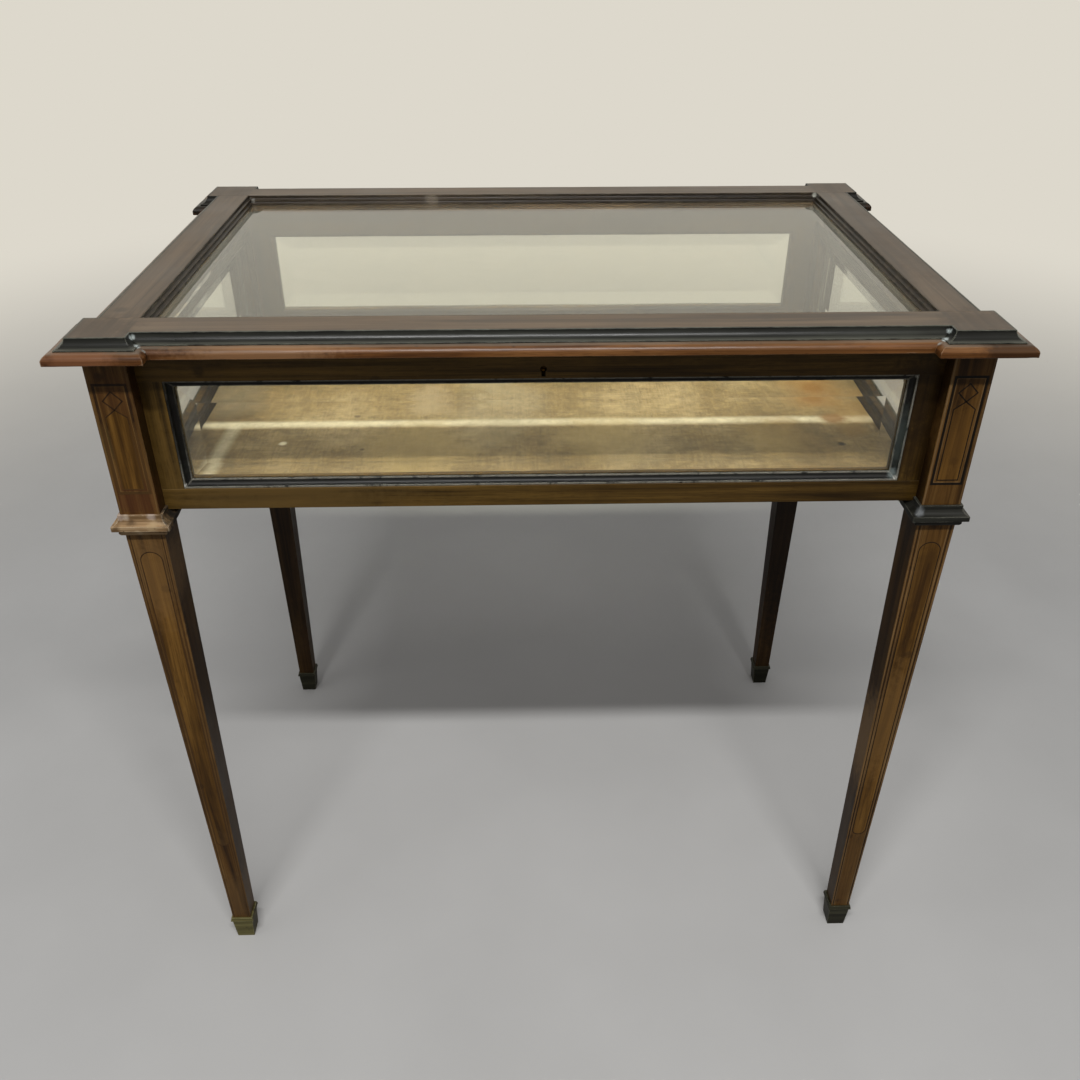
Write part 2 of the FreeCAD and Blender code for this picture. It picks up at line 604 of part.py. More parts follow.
# ---- lid: cove and thumb mouldings round the edge, returned round each corner block ----
cove_section = [
    ("0", "0"), ("cove_reach", "0"), ("cove_reach", "cove_lip"),
    ("cove_fillet", "cove_height - cove_drop", "cove_radius", "right"),
    ("cove_fillet", "cove_height"), ("0", "cove_height")]
thumb_section = [
    ("0", "0"), ("thumb_reach - thumb_edge", "0"), ("thumb_reach", "thumb_edge", "thumb_edge", "left"),
    ("thumb_reach", "thumb_lip"),
    ("thumb_reach - thumb_round", "thumb_height", "thumb_radius", "left"), ("0", "thumb_height")]
for kind, section in (("cove", cove_section), ("thumb", thumb_section)):
    reach, height, low = f"{kind}_reach", f"{kind}_height", f"{kind}_low"
    for side in FACES:
        name = f"lid_{side}_{kind}"
        run, face, block = ("lid_run_x", "lid_side_y", "block_length")
        if side in ("right", "left"):
            run, face, block = ("lid_inner_y", "lid_side_x", "block_depth")
        edging = [strip(f"{name}_run", section, f"2 * {run}", reach, height, (-1, -1),
                        ("0", f"-{face}", low), side)]
        for way, inward, mitres in ((-1, "right", (1, -1)), (1, "left", (-1, 1))):
            edging.append(strip(f"{name}_return_{inward}", section, "block_step", reach, height, mitres,
                                (f"{way} * {run}", f"-({face} + block_step / 2)", low), side,
                                facing(inward)))
            edging.append(strip(f"{name}_block_{inward}", section, block, reach, height, (1, 1),
                                (f"{way} * ({run} + {block} / 2)", f"-({face} + block_step)", low), side))
        node(group(f"{name}_set", edging), name)


# ---- hinges: two leaves, a pin and six screws each ----
def screw(name, x, y, z, down):
    """A countersunk screw whose head lies in the face at z, and the hole for it."""
    sign = -1 if down else 1
    way = UP * sign
    face = f"{z} + {sign} * screw_sink"
    head = cone(f"{name}_head", "screw_head_radius", "screw_radius", "screw_head_height",
                (x, y, face), way)
    shank = cylinder(f"{name}_shank", "screw_radius", "screw_length", (x, y, face), way)
    solid = fuse(f"{name}_solid", [head, shank])
    slot = box(f"{name}_slot", (f"{x} - screw_head_radius", f"{x} + screw_head_radius"),
               (f"{y} - screw_slot / 2", f"{y} + screw_slot / 2"),
               (f"{face} - screw_slot", f"{face} + screw_slot"))
    mouth = cylinder(f"{name}_mouth", "screw_head_radius", "screw_sink", (x, y, z), way)
    return cut(f"{name}_screw", solid, [slot]), fuse(f"{name}_hole", [solid, mouth])


screws = {"case": [], "lid": []}
hinge_seats = {"case": [], "lid": []}
leaves = {"case": [], "lid": []}
pins = []
leaf_span_y = ("leaf_y", "hinge_y - knuckle_radius - knuckle_gap")
for hand, way in (("left", -1), ("right", 1)):
    start = f"{way} * hinge_x - hinge_length / 2"
    span = (start, f"{start} + hinge_length")
    for owner, face, leaf_z, knuckles, bore in (
            ("case", "case_top", ("case_top - leaf_thickness", "case_top"), (0, 2), "pin_radius"),
            ("lid", "lid_underside", ("lid_underside", "lid_underside + leaf_thickness"), (1,),
             "pin_radius + pin_clearance")):
        name = f"{owner}_leaf_{hand}"
        plate = box(f"{name}_plate", span, leaf_span_y, leaf_z)
        metal = [plate]
        for number in knuckles:
            low = f"{start} + {number} * (knuckle_length + knuckle_gap)"
            metal.append(box(f"{name}_tongue_{number}", (low, f"{low} + knuckle_length"),
                             ("leaf_y", "hinge_y"), leaf_z))
            metal.append(cylinder(f"{name}_knuckle_{number}", "knuckle_radius", "knuckle_length",
                                  (low, "hinge_y", "hinge_z"), RIGHT))
        hollows = [cylinder(f"{name}_bore", bore, "hinge_length", (start, "hinge_y", "hinge_z"), RIGHT)]
        for number in (-1, 0, 1):
            fastener, hole = screw(f"{name}_{number + 1}", f"{way} * hinge_x + {number} * screw_spacing",
                                   "leaf_y + screw_margin", face, owner == "case")
            screws[owner].append(fastener)
            hinge_seats[owner].append(hole)
            hollows.append(hole)
        leaves[owner].append(cut(f"{name}_metal", fuse(f"{name}_blank", metal), hollows))
        hinge_seats[owner].append(plate)
    pins.append(cylinder(f"hinge_pin_{hand}", "pin_radius", "hinge_length",
                         (start, "hinge_y", "hinge_z"), RIGHT))
node(group("case_leaf_pair", leaves["case"]), "hinge_case_leaves")
node(group("lid_leaf_pair", leaves["lid"]), "hinge_lid_leaves")
node(group("pin_pair", pins), "hinge_pins")


# ---- lid lock in the front top rail, and the metal liner of its keyhole ----
def keyhole(name, wall, y, depth):
    """A bar along Y with a keyhole's outline, a round over a slot, grown by a wall."""
    half_slot = f"(keyhole_slot / 2 + {wall})"
    return fuse(name, [
        cylinder(f"{name}_round", f"keyhole_radius + {wall}", depth, ("0", y, "keyhole_z"), BACK),
        box(f"{name}_slot", (f"-{half_slot}", half_slot), (y, f"{y} + {depth}"),
            (f"keyhole_z - keyhole_drop - {wall}", "keyhole_z"))])


def screw_pair(name, x, y, z, down):
    """Two screws, left and right of the middle, and their holes."""
    return zip(*(screw(f"{name}_{hand}", f"{way} * ({x})", y, z, down)
                 for hand, way in (("left", -1), ("right", 1))))


lock_span_y = ("-inner_y - lock_depth", "-inner_y")
cavity_y = ("-inner_y - lock_depth + lock_wall", "-inner_y - lock_wall")
plate_span_y = ("-inner_y - lock_plate_width", "-inner_y")
body = box("lock_body", ("-lock_width / 2", "lock_width / 2"), lock_span_y, ("lock_low", "lock_plate_low"))
top_plate = box("lock_plate", ("-lock_plate_length / 2", "lock_plate_length / 2"), plate_span_y,
                ("lock_plate_low", "case_top"))
cavity = box("lock_cavity", ("-lock_width / 2 + lock_wall", "lock_width / 2 - lock_wall"), cavity_y,
             ("lock_low + lock_wall", "lock_plate_low"))
window = box("eye_window", ("-eye_clearance", "eye_thickness + eye_clearance"), cavity_y,
             ("lock_plate_low", "case_top"))
key_way = keyhole("key_way", "0", lock_span_y[0], "lock_wall")
lock_screws, lock_holes = screw_pair("lock", "lock_plate_length / 2 - lock_screw_inset",
                                     "-inner_y - lock_plate_width / 2", "case_top", True)
shell = cut("lock_shell", fuse("lock_blank", [body, top_plate]), [cavity, window, key_way, *lock_holes])
key_pin = cylinder("key_pin", "key_pin_radius", "lock_depth - lock_wall",
                   ("0", lock_span_y[0], "keyhole_z"), BACK)
node(fuse("lock_metal", [shell, key_pin]), "lock_case")

liner_hole = keyhole("liner_hole", "liner_wall", "-face_y", "face_y - inner_y")
liner_blank = keyhole("liner_blank", "liner_wall", "-face_y", "liner_depth")
liner_bore = keyhole("liner_bore", "0", "-face_y", "liner_depth")
node(cut("liner_metal", liner_blank, [liner_bore]), "keyhole_liner")

# ---- the lock's bolt, drawn back; shot, its tongue passes through the eye ----
bolt_y = (f"{cavity_y[0]} + bolt_clearance", f"{cavity_y[1]} - bolt_clearance")
bolt_body = box("bolt_body", ("bolt_left", "bolt_right"), bolt_y, ("bolt_low", "bolt_top"))
tongue = box("bolt_tongue", ("bolt_right", "-bolt_standoff"),
             ("-lock_y - tongue_thickness / 2", "-lock_y + tongue_thickness / 2"),
             ("eye_middle - tongue_height / 2", "eye_middle + tongue_height / 2"))
talon_x = ("talon_middle - talon / 2", "talon_middle + talon / 2")
notch = box("bolt_talon", talon_x, bolt_y, ("bolt_low", "bolt_low + talon"))
node(cut("bolt_metal", fuse("bolt_blank", [bolt_body, tongue]), [notch]), "lock_bolt")

# ---- link plate let into the lid, with its eye ----
link_z = ("lid_underside", "lid_underside + link_thickness")
link_plate = box("link_plate", ("-link_length / 2", "link_length / 2"),
                 ("-lock_y - link_width / 2", "-lock_y + link_width / 2"), link_z)
eye = box("eye", ("0", "eye_thickness"), ("-lock_y - eye_width / 2", "-lock_y + eye_width / 2"),
          ("eye_tip", "lid_underside"))
eye_opening = box("eye_opening", ("0", "eye_thickness"),
                  ("-lock_y - eye_hole / 2", "-lock_y + eye_hole / 2"),
                  ("eye_tip + eye_rim", "eye_tip + eye_rim + eye_hole_height"))
link_screws, link_holes = screw_pair("link", "link_length / 2 - link_screw_inset", "-lock_y",
                                     "lid_underside", False)
node(cut("link_metal", fuse("link_blank", [link_plate, eye]), [eye_opening, *link_holes]),
     "lock_link_plate")
node(group("case_screw_set", screws["case"] + list(lock_screws)), "case_screws")
node(group("lid_screw_set", screws["lid"] + list(link_screws)), "lid_screws")

# ---- rails that carry the hardware, and the plain ones ----
mortise = box("lock_mortise", ("-lock_width / 2 - lock_fit", "lock_width / 2 + lock_fit"),
              (f"{lock_span_y[0]} - lock_fit", "-inner_y"), ("lock_low - lock_fit", "case_top"))
plate_seat = box("lock_plate_seat",
                 ("-lock_plate_length / 2 - lock_fit", "lock_plate_length / 2 + lock_fit"),
                 (f"{plate_span_y[0]} - lock_fit", "-inner_y"), ("lock_plate_low", "case_top"))
lock_seats = [mortise, plate_seat, liner_hole, *lock_holes]
carved = {("front", "top"): lock_seats, ("back", "top"): hinge_seats["case"]}
for (side, level), rail in rails.items():
    if (side, level) in carved:
        rail = cut(f"{side}_{level}_rail_carved", rail, carved[side, level])
    node(rail, f"{side}_{level}_rail")

# ---- lid: front and back rails, each one piece with its two corner blocks ----
plan = [("-block_x", "-lid_inner_y"), ("-block_x", "-block_y"), ("-lid_run_x", "-block_y"),
        ("-lid_run_x", "-lid_side_y"), ("lid_run_x", "-lid_side_y"), ("lid_run_x", "-block_y"),
        ("block_x", "-block_y"), ("block_x", "-lid_inner_y")]
for side, number, seats in (("front", 0, [link_plate, *link_holes]), ("back", 1, hinge_seats["lid"])):
    slab = extrusion(f"lid_{side}_slab", outline(f"lid_{side}_plan", plan), "lid_thickness")
    place(slab, ("0", "0", "table_height - lid_thickness / 2"), side)
    ledge = box(f"lid_{side}_ledge", ("-lid_inner_x", "lid_inner_x"),
                ("-lid_inner_y", "-(lid_inner_y - ledge_width)"), ledge_z, side)
    sockets = [lid_tenons["right"][number], lid_tenons["left"][1 - number]]
    node(cut(f"lid_{side}_wood", fuse(f"lid_{side}_blank", [slab, ledge]), sockets + seats),
         f"lid_{side}_rail")

doc.recompute()

# ---- checks and files ----
faults = [f"{thing.Name}: {thing.State}" for thing in doc.Objects
          if {"Invalid", "Error"} & set(thing.State)]
labelled = {thing.Label: thing for thing in doc.Objects}
for name in node_names:
    shape = labelled[name].Shape
    if shape.isNull() or not shape.isValid() or not shape.Solids:
        faults.append(f"{name}: no valid solid")
if faults:
    raise RuntimeError("; ".join(faults))
os.makedirs("parts", exist_ok=True)
for name in node_names:
    labelled[name].Shape.exportStep(f"parts/{name}.step")
print(len(node_names), "sub-parts")
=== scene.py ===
"""Looks of the collectors display table, in metres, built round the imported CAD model."""

import json
import math
from functools import partial

import bmesh
import bpy
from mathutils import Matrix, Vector, noise

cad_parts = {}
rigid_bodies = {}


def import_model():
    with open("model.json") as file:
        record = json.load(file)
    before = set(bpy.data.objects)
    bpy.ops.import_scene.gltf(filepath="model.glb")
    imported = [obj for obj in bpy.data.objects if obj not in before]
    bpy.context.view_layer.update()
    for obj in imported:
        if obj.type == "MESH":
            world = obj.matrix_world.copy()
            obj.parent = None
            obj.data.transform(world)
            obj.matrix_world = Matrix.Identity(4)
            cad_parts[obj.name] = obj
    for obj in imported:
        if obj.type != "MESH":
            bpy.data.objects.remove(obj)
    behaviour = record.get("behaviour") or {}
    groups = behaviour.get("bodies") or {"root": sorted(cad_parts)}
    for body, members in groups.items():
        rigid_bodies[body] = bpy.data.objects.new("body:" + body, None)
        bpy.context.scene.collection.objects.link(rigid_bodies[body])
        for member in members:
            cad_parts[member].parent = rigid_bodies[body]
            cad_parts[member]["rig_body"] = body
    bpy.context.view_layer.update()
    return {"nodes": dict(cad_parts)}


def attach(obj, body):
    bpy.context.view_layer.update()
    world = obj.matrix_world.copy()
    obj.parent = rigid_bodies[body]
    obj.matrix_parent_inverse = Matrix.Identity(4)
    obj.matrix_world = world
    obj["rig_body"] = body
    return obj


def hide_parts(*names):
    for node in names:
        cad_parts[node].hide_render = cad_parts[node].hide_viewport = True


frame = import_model()

# ---- Legs -----------------------------------------------------------------------------
# Each leg is one length of solid rosewood, a square block above and a shaft that tapers on
# all four faces below. The outer faces are French polished and faded, handling has rounded
# the arrises and rubbed them pale, and painted shade darkens the faces turned under the table.
MM = 0.001
X, Y, Z = range(3)
# which way each leg stands from the middle, along X and along Y
CORNERS = {"front_left": (-1, -1), "front_right": (1, -1),
           "back_left": (-1, 1), "back_right": (1, 1)}


def linear(tone):
    """A hex sRGB colour as linear red, green, blue and alpha."""
    parts = [int(tone[i:i + 2], 16) / 255 for i in (1, 3, 5)]
    return [c / 12.92 if c <= 0.04045 else ((c + 0.055) / 1.055) ** 2.4 for c in parts] + [1]


def add(tree, kind, inputs=None, stops=None, **settings):
    """Add a node with its settings and colour stops, and set or link its inputs."""
    new = tree.nodes.new("ShaderNode" + kind)
    for key, value in settings.items():
        setattr(new, key, value)
    if stops:
        marks = new.color_ramp.elements
        marks[0].position, marks[-1].position = stops[0][0], stops[-1][0]
        for position, _ in stops[1:-1]:
            marks.new(position)
        for mark, (_, tone) in zip(marks, stops):
            mark.color = linear(tone)
    for key, value in (inputs or {}).items():
        if isinstance(value, bpy.types.NodeSocket):
            tree.links.new(value, new.inputs[key])
        else:
            new.inputs[key].default_value = value
    return new


def new_finish(name):
    """An empty material and its node tree."""
    finish = bpy.data.materials.new(name)
    finish.use_nodes = True
    finish.node_tree.nodes.clear()
    return finish, finish.node_tree


def lay_spots(tree, place, colour, spots, lumps):
    """Lay ragged spots over a colour, each as x, y, z, radius in mm, tone and strength.

    lumps is how wide, in mm, the largest lumps of a ragged edge are.
    """
    ragged = add(tree, "TexNoise", {"Vector": place, "Scale": 1 / (lumps * MM), "Detail": 5,
                                    "Roughness": 0.7}).outputs["Fac"]
    for x, y, z, radius, tone, strength in spots:
        away = add(tree, "VectorMath", {0: place, 1: [x * MM, y * MM, z * MM]},
                   operation="DISTANCE").outputs["Value"]
        away = add(tree, "Math", {0: ragged, 1: -1.1 * radius * MM, 2: away},
                   operation="MULTIPLY_ADD").outputs[0]
        near = add(tree, "MapRange", {"Value": away, "From Min": 0.35 * radius * MM,
                                      "From Max": -0.25 * radius * MM, "To Max": strength},
                   interpolation_type="SMOOTHSTEP").outputs[0]
        colour = add(tree, "Mix", {0: near, 6: colour, 7: linear(tone)},
                     data_type="RGBA").outputs[2]
    return colour


def polished_wood(name, along, tones, rubbed, wear=0.5, roughness=0.38, coat=0.06, dust=None,
                  under_shade=1.0, turn=0, dents=0, arris=1.1, spots=()):
    """Wood under an old polish, with its grain along an axis.

    tones are the dark, middle and light of the grain; rubbed is the tone of the worn arrises
    and wear how far they are worn; dust is the tone and strength of the film on level faces,
    which is dust and a painted sheen; inner is the share of brightness that painted shade
    leaves on the faces turned under the table; turn is how far from the middle the grain
    turns to run across; dents is the spacing of small bruises; arris is how far the rubbed
    tone reaches from an arris.
    """
    finish, tree = new_finish(name)
    place = add(tree, "TexCoord").outputs["Object"]
    facing = add(tree, "TexCoord").outputs["Normal"]
    lie = place
    if turn:
        parts = add(tree, "SeparateXYZ", {0: place}).outputs
        crossed = add(tree, "CombineXYZ", {0: parts[1], 1: parts[0], 2: parts[2]}).outputs[0]
        far = add(tree, "Math", {0: parts[0]}, operation="ABSOLUTE").outputs[0]
        far = add(tree, "Math", {0: far, 1: turn * MM}, operation="GREATER_THAN").outputs[0]
        lie = add(tree, "Mix", {0: far, 4: place, 5: crossed}, data_type="VECTOR").outputs[1]

    # ribbons of figure 10 mm wide, dark streaks 1.8 mm wide, and pores, which are really
    # 0.2 mm wide and are drawn at 0.8 mm so that they show
    grain = []
    for wide, long, look in ((10, 240, {"Detail": 4, "Roughness": 0.6, "Distortion": 0.7}),
                             (1.8, 130, {"Detail": 3, "Roughness": 0.65, "Distortion": 0.3}),
                             (0.8, 12, {"Detail": 1, "Roughness": 0.5})):
        scale = [1 / (wide * MM)] * 3
        scale[along] = 1 / (long * MM)
        drawn = add(tree, "VectorMath", {0: lie, 1: scale}, operation="MULTIPLY").outputs[0]
        grain.append(add(tree, "TexNoise", {"Vector": drawn, "Scale": 1, **look}).outputs["Fac"])
    ribbons, streaks, pores = grain
    colour = add(tree, "ValToRGB", {"Fac": ribbons},
                 stops=[(0.32, tones[0]), (0.5, tones[1]), (0.7, tones[2])]).outputs[0]
    for marks, low, high, strength in ((streaks, 0.5, 0.68, 0.5), (pores, 0.58, 0.74, 0.45)):
        dark = add(tree, "MapRange", {"Value": marks, "From Min": low, "From Max": high,
                                      "To Max": strength}).outputs[0]
        colour = add(tree, "Mix", {0: dark, 6: colour, 7: linear(tones[0])},
                     data_type="RGBA").outputs[2]

    # the polish has darkened and faded in clouds about 90 mm across
    clouds = add(tree, "TexNoise", {"Vector": place, "Scale": 1 / (90 * MM), "Detail": 4,
                                    "Roughness": 0.6}).outputs["Fac"]
    shade = add(tree, "MapRange", {"Value": clouds, "From Min": 0.32, "From Max": 0.68,
                                   "To Min": 0.78, "To Max": 1.18}).outputs[0]
    if under_shade < 1:
        # painted shade darkens a face turned under the table, one that looks back to the table's
        # middle
        outward = add(tree, "VectorMath", {0: place, 1: [1, 1, 0]}, operation="MULTIPLY").outputs[0]
        outward = add(tree, "VectorMath", {0: outward, 1: facing}, operation="DOT_PRODUCT")
        kept = add(tree, "MapRange", {"Value": outward.outputs["Value"], "From Min": -0.12,
                                      "From Max": -0.02, "To Min": under_shade, "To Max": 1}).outputs[0]
        shade = add(tree, "Math", {0: shade, 1: kept}, operation="MULTIPLY").outputs[0]
    colour = add(tree, "VectorMath", {0: colour, "Scale": shade}, operation="SCALE").outputs[0]
    height = add(tree, "Math", {0: streaks, 1: pores}, operation="ADD").outputs[0]
    if dents:
        # a bruise is about a fifth as wide as the bruises are apart, and a little sunk
        bruise = add(tree, "TexVoronoi", {"Vector": place, "Scale": 1 / (dents * MM)})
        bruise = add(tree, "MapRange", {"Value": bruise.outputs["Distance"], "From Min": 0.14,
                                        "From Max": 0.07, "To Max": 0.75}).outputs[0]
        colour = add(tree, "Mix", {0: bruise, 6: colour, 7: linear(tones[0])},
                     data_type="RGBA").outputs[2]
        height = add(tree, "Math", {0: bruise, 1: -3, 2: height},
                     operation="MULTIPLY_ADD").outputs[0]

    # grime and painted shade in the corners and quirks, rubbed tone on the arrises, in patches 11
    # mm across
    close = add(tree, "AmbientOcclusion", {"Distance": 4 * MM}, samples=4,
                only_local=True).outputs["AO"]
    grime_and_shade = add(tree, "MapRange", {"Value": close, "From Min": 0.35, "From Max": 0.85,
                                   "To Min": 0.7, "To Max": 0}).outputs[0]
    colour = add(tree, "Mix", {0: grime_and_shade, 6: colour, 7: linear("#0d0a07")},
                 data_type="RGBA").outputs[2]
    smooth = add(tree, "Bevel", {"Radius": arris * MM}, samples=4).outputs[0]
    true = add(tree, "NewGeometry").outputs["Normal"]
    bend = add(tree, "VectorMath", {0: smooth, 1: true}, operation="DOT_PRODUCT").outputs["Value"]
    edge = add(tree, "MapRange", {"Value": bend, "From Min": 0.99, "From Max": 0.86,
                                  "To Max": wear}).outputs[0]
    patchy = add(tree, "TexNoise", {"Vector": place, "Scale": 1 / (11 * MM), "Detail": 4,
                                    "Roughness": 0.65}).outputs["Fac"]
    patchy = add(tree, "MapRange", {"Value": patchy, "From Min": 0.36, "From Max": 0.62}).outputs[0]
    raised = add(tree, "MapRange", {"Value": close, "From Min": 0.6, "From Max": 0.85}).outputs[0]
    worn = add(tree, "Math", {0: edge, 1: patchy}, operation="MULTIPLY").outputs[0]
    worn = add(tree, "Math", {0: worn, 1: raised}, operation="MULTIPLY").outputs[0]
    colour = add(tree, "Mix", {0: worn, 6: colour, 7: linear(rubbed)}, data_type="RGBA").outputs[2]
    # the film on level faces is dust and a painted sheen
    if dust:
        up = add(tree, "SeparateXYZ", {0: facing}).outputs["Z"]
        film = add(tree, "MapRange", {"Value": up, "From Min": 0.85, "From Max": 1,
                                      "To Max": dust[1]}).outputs[0]
        film = add(tree, "Math", {0: film, 1: shade}, operation="MULTIPLY").outputs[0]
        colour = add(tree, "Mix", {0: film, 6: colour, 7: linear(dust[0])},
                     data_type="RGBA").outputs[2]
    if spots:
        colour = lay_spots(tree, place, colour, spots, 7)

    # the polish is duller in the faded clouds and where it is worn through
    gloss = add(tree, "MapRange", {
        "Value": clouds, "From Min": 0.3, "From Max": 0.7,
        "To Min": roughness - 0.07, "To Max": roughness + 0.1}).outputs[0]
    gloss = add(tree, "Math", {0: worn, 1: 0.25, 2: gloss}, operation="MULTIPLY_ADD").outputs[0]
    relief = add(tree, "Bump", {"Strength": 0.3, "Distance": 0.15 * MM,
                                "Height": height}).outputs[0]
    skin = add(tree, "BsdfPrincipled", {
        "Base Color": colour, "Roughness": gloss, "IOR": 1.45, "Specular IOR Level": 0.2,
        "Coat Weight": coat, "Coat Roughness": 0.25, "Normal": relief})
    add(tree, "OutputMaterial", {"Surface": skin.outputs[0]})
    return finish


def closed_solids(mesh):
    """The closed solids of a piece, each welded by itself.

    Its triangles list one solid after the other, and a solid ends where no edge is open.
    """
    solids, welded, open_edges = [], {}, set()
    for face in mesh.polygons:
        if not open_edges:
            solids.append(bmesh.new())
            welded = {}
        corners = []
        for place in (mesh.vertices[i].co for i in face.vertices):
            key = tuple(round(c / MM, 3) for c in place)
            if key not in welded:
                welded[key] = solids[-1].verts.new(place)
            corners.append(key)
        for here, there in zip(corners, corners[1:] + corners[:1]):
            if (there, here) in open_edges:
                open_edges.remove((there, here))
            else:
                open_edges.add((here, there))
        if len(set(corners)) == 3:
            solids[-1].faces.new([welded[key] for key in corners])
    return solids


def placed(mesh, finish):
    """The object of a mesh in one finish."""
    mesh.materials.append(finish)
    piece = bpy.data.objects.new(mesh.name, mesh)
    bpy.context.collection.objects.link(piece)
    return piece


# faces that meet at less than FLAT are one face, and edges sharper than SHARP are arrises
FLAT, SHARP = math.radians(0.5), math.radians(32)
# a worn piece is cut across about every 7 mm, so that its faces can dip between the cuts
CUT_SPACING, FEWEST_CUTS = 7 * MM, 16


def eased(node, ease, finish, uneven=0):
    """A copy of a CAD piece with rounded arrises, which stands for that piece.

    ease is how far, in mm, the arrises are rounded; uneven is how deep, in mm, years of
    knocks have worn its faces away from true.
    """
    source = frame["nodes"][node]
    whole = bmesh.new()
    mesh = bpy.data.meshes.new(f"{node}_eased")
    for shape in closed_solids(source.data):
        bmesh.ops.dissolve_limit(shape, angle_limit=FLAT, verts=shape.verts, edges=shape.edges)
        arrises = [edge for edge in shape.edges
                   if len(edge.link_faces) == 2 and edge.calc_face_angle() > SHARP]
        bmesh.ops.bevel(shape, geom=arrises, offset=ease * MM, segments=2, profile=0.5,
                        affect="EDGES", clamp_overlap=True)
        if uneven:
            ends = [(min(v.co[i] for v in shape.verts), max(v.co[i] for v in shape.verts))
                    for i in (X, Y, Z)]
            run = max((X, Y, Z), key=lambda i: ends[i][1] - ends[i][0])
            low, high = ends[run]
            cuts = max(FEWEST_CUTS, int((high - low) / CUT_SPACING))
            way = Vector([float(i == run) for i in (X, Y, Z)])
            for cut in range(1, cuts):
                bmesh.ops.bisect_plane(
                    shape, geom=shape.verts[:] + shape.edges[:] + shape.faces[:],
                    plane_co=way * (low + (high - low) * cut / cuts), plane_no=way)
            shape.normal_update()
            # hollows about 16 mm and 5 mm across, never past the piece's own ends
            for point in shape.verts:
                wear = noise.noise(point.co / (16 * MM)) + 0.6 * noise.noise(point.co / (5 * MM))
                worn = point.co - point.normal * uneven * MM * max(0, wear)
                point.co = [min(max(c, low), high) for c, (low, high) in zip(worn, ends)]
        shape.to_mesh(mesh)
        shape.free()
        whole.from_mesh(mesh)
    whole.to_mesh(mesh)
    whole.free()
    mesh.materials.clear()
    mesh.shade_smooth()
    piece = placed(mesh, finish)
    piece.modifiers.new("flat faces", "WEIGHTED_NORMAL").keep_sharp = True
    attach(piece, source["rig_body"])
    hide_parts(node)
    return piece


# painted shade darkens the back legs, the right one more
back_leg_shade = ((354, 206, 330, 330, "#070403", 0.7), (-347, 206, 330, 330, "#0d0806", 0.4))
# painted shade darkens the faces of the front blocks that look into the corners of the case too
block_side_shade = tuple((way * 322, -214, z, 24, "#0a0703", 0.75)
                    for way in (-1, 1) for z in range(600, 745, 24))
# French polished rosewood, gone a dull golden brown, with a bruise every 40 mm or so
leg_rosewood = polished_wood(
    "leg_rosewood_french_polished", Z, ("#2c1b09", "#573b18", "#70522a"), "#8a6c48",
    under_shade=0.36, dents=40, spots=back_leg_shade + (
        (-356, -241, 610, 34, "#4c2917", 0.55), (-368, -241, 665, 26, "#2f2c18", 0.5),
        (-350, -241, 705, 34, "#4a2d18", 0.35), (-353.6, -241.3, 632.7, 2.5, "#c3a983", 0.9),
        (-354, -240, 535, 60, "#7a5d3a", 0.45), (356, -238, 300, 95, "#86673f", 0.5),
        (-356, -236, 70, 60, "#6e5433", 0.35), (356, -241, 665, 40, "#6e4e26", 0.4)) + block_side_shade)
for corner in CORNERS:
    eased(f"leg_{corner}", 0.5, leg_rosewood)

# ---- Inlay of the legs ----------------------------------------------------------------
# Strings of ebony and of boxwood gone brown, and panels of darker rosewood veneer, are let
# into the two outer faces of each leg and stand a tenth of a millimetre proud of the polish.
# On the front left leg they have all but faded, apart from the diamond.
LEG_X, LEG_Y = 355.7, 223.6
# the ends of the tapering shaft are given as height and half width
BLOCK_HALF, SHAFT_TOP, SHAFT_FOOT = 17.6, (574, 17.45), (34.7, 10.45)
# how far the inlay stands out of the face, at its foot in the groove and at its top
INLAY_FOOT, STRING_TOP, PANEL_TOP = -0.4, 0.1, 0.05


def leg_half(z):
    """Half the width of a leg at a height."""
    if z > SHAFT_TOP[0]:
        return BLOCK_HALF
    share = (z - SHAFT_FOOT[0]) / (SHAFT_TOP[0] - SHAFT_FOOT[0])
    return SHAFT_FOOT[1] + share * (SHAFT_TOP[1] - SHAFT_FOOT[1])


def on_face(corner, outward, across, z, lift):
    """The point of a leg's outer face at a distance from its middle line and a height."""
    right, rear = CORNERS[corner]
    out = leg_half(z) + lift
    if outward == Y:
        return Vector((right * LEG_X + across, rear * (LEG_Y + out), z)) * MM
    return Vector((right * (LEG_X + out), rear * LEG_Y + across, z)) * MM


def lay_string(shape, at, path, width, closed):
    """Lay a thin bar along a path drawn on the face as (across, height)."""
    ends = range(len(path))
    stations = []
    for i in ends:
        here = Vector(path[i])
        ways = []
        if closed or i > 0:
            ways.append((here - Vector(path[i - 1])).normalized())
        if closed or i < len(path) - 1:
            ways.append((Vector(path[(i + 1) % len(path)]) - here).normalized())
        aside = sum((Vector((-way.y, way.x)) for way in ways), Vector((0, 0)))
        aside *= width / 2 / (1 + ways[0].dot(ways[-1])) if len(ways) == 2 else width / 2
        stations.append([shape.verts.new(at(*(here + side * aside), lift))
                         for side, lift in ((1, INLAY_FOOT), (1, STRING_TOP),
                                            (-1, STRING_TOP), (-1, INLAY_FOOT))])
    for i in ends if closed else ends[:-1]:
        near, far = stations[i], stations[(i + 1) % len(path)]
        for j in range(4):
            shape.faces.new((near[j], far[j], far[j - 1], near[j - 1]))
    if not closed:
        shape.faces.new(stations[0])
        shape.faces.new(reversed(stations[-1]))


def lay_panel(shape, at, path):
    """Lay a thin plate of veneer inside a closed path."""
    top = [shape.verts.new(at(*point, PANEL_TOP)) for point in path]
    foot = [shape.verts.new(at(*point, INLAY_FOOT)) for point in path]
    shape.faces.new(top)
    shape.faces.new(reversed(foot))
    for i in range(len(path)):
        shape.faces.new((top[i - 1], top[i], foot[i], foot[i - 1]))


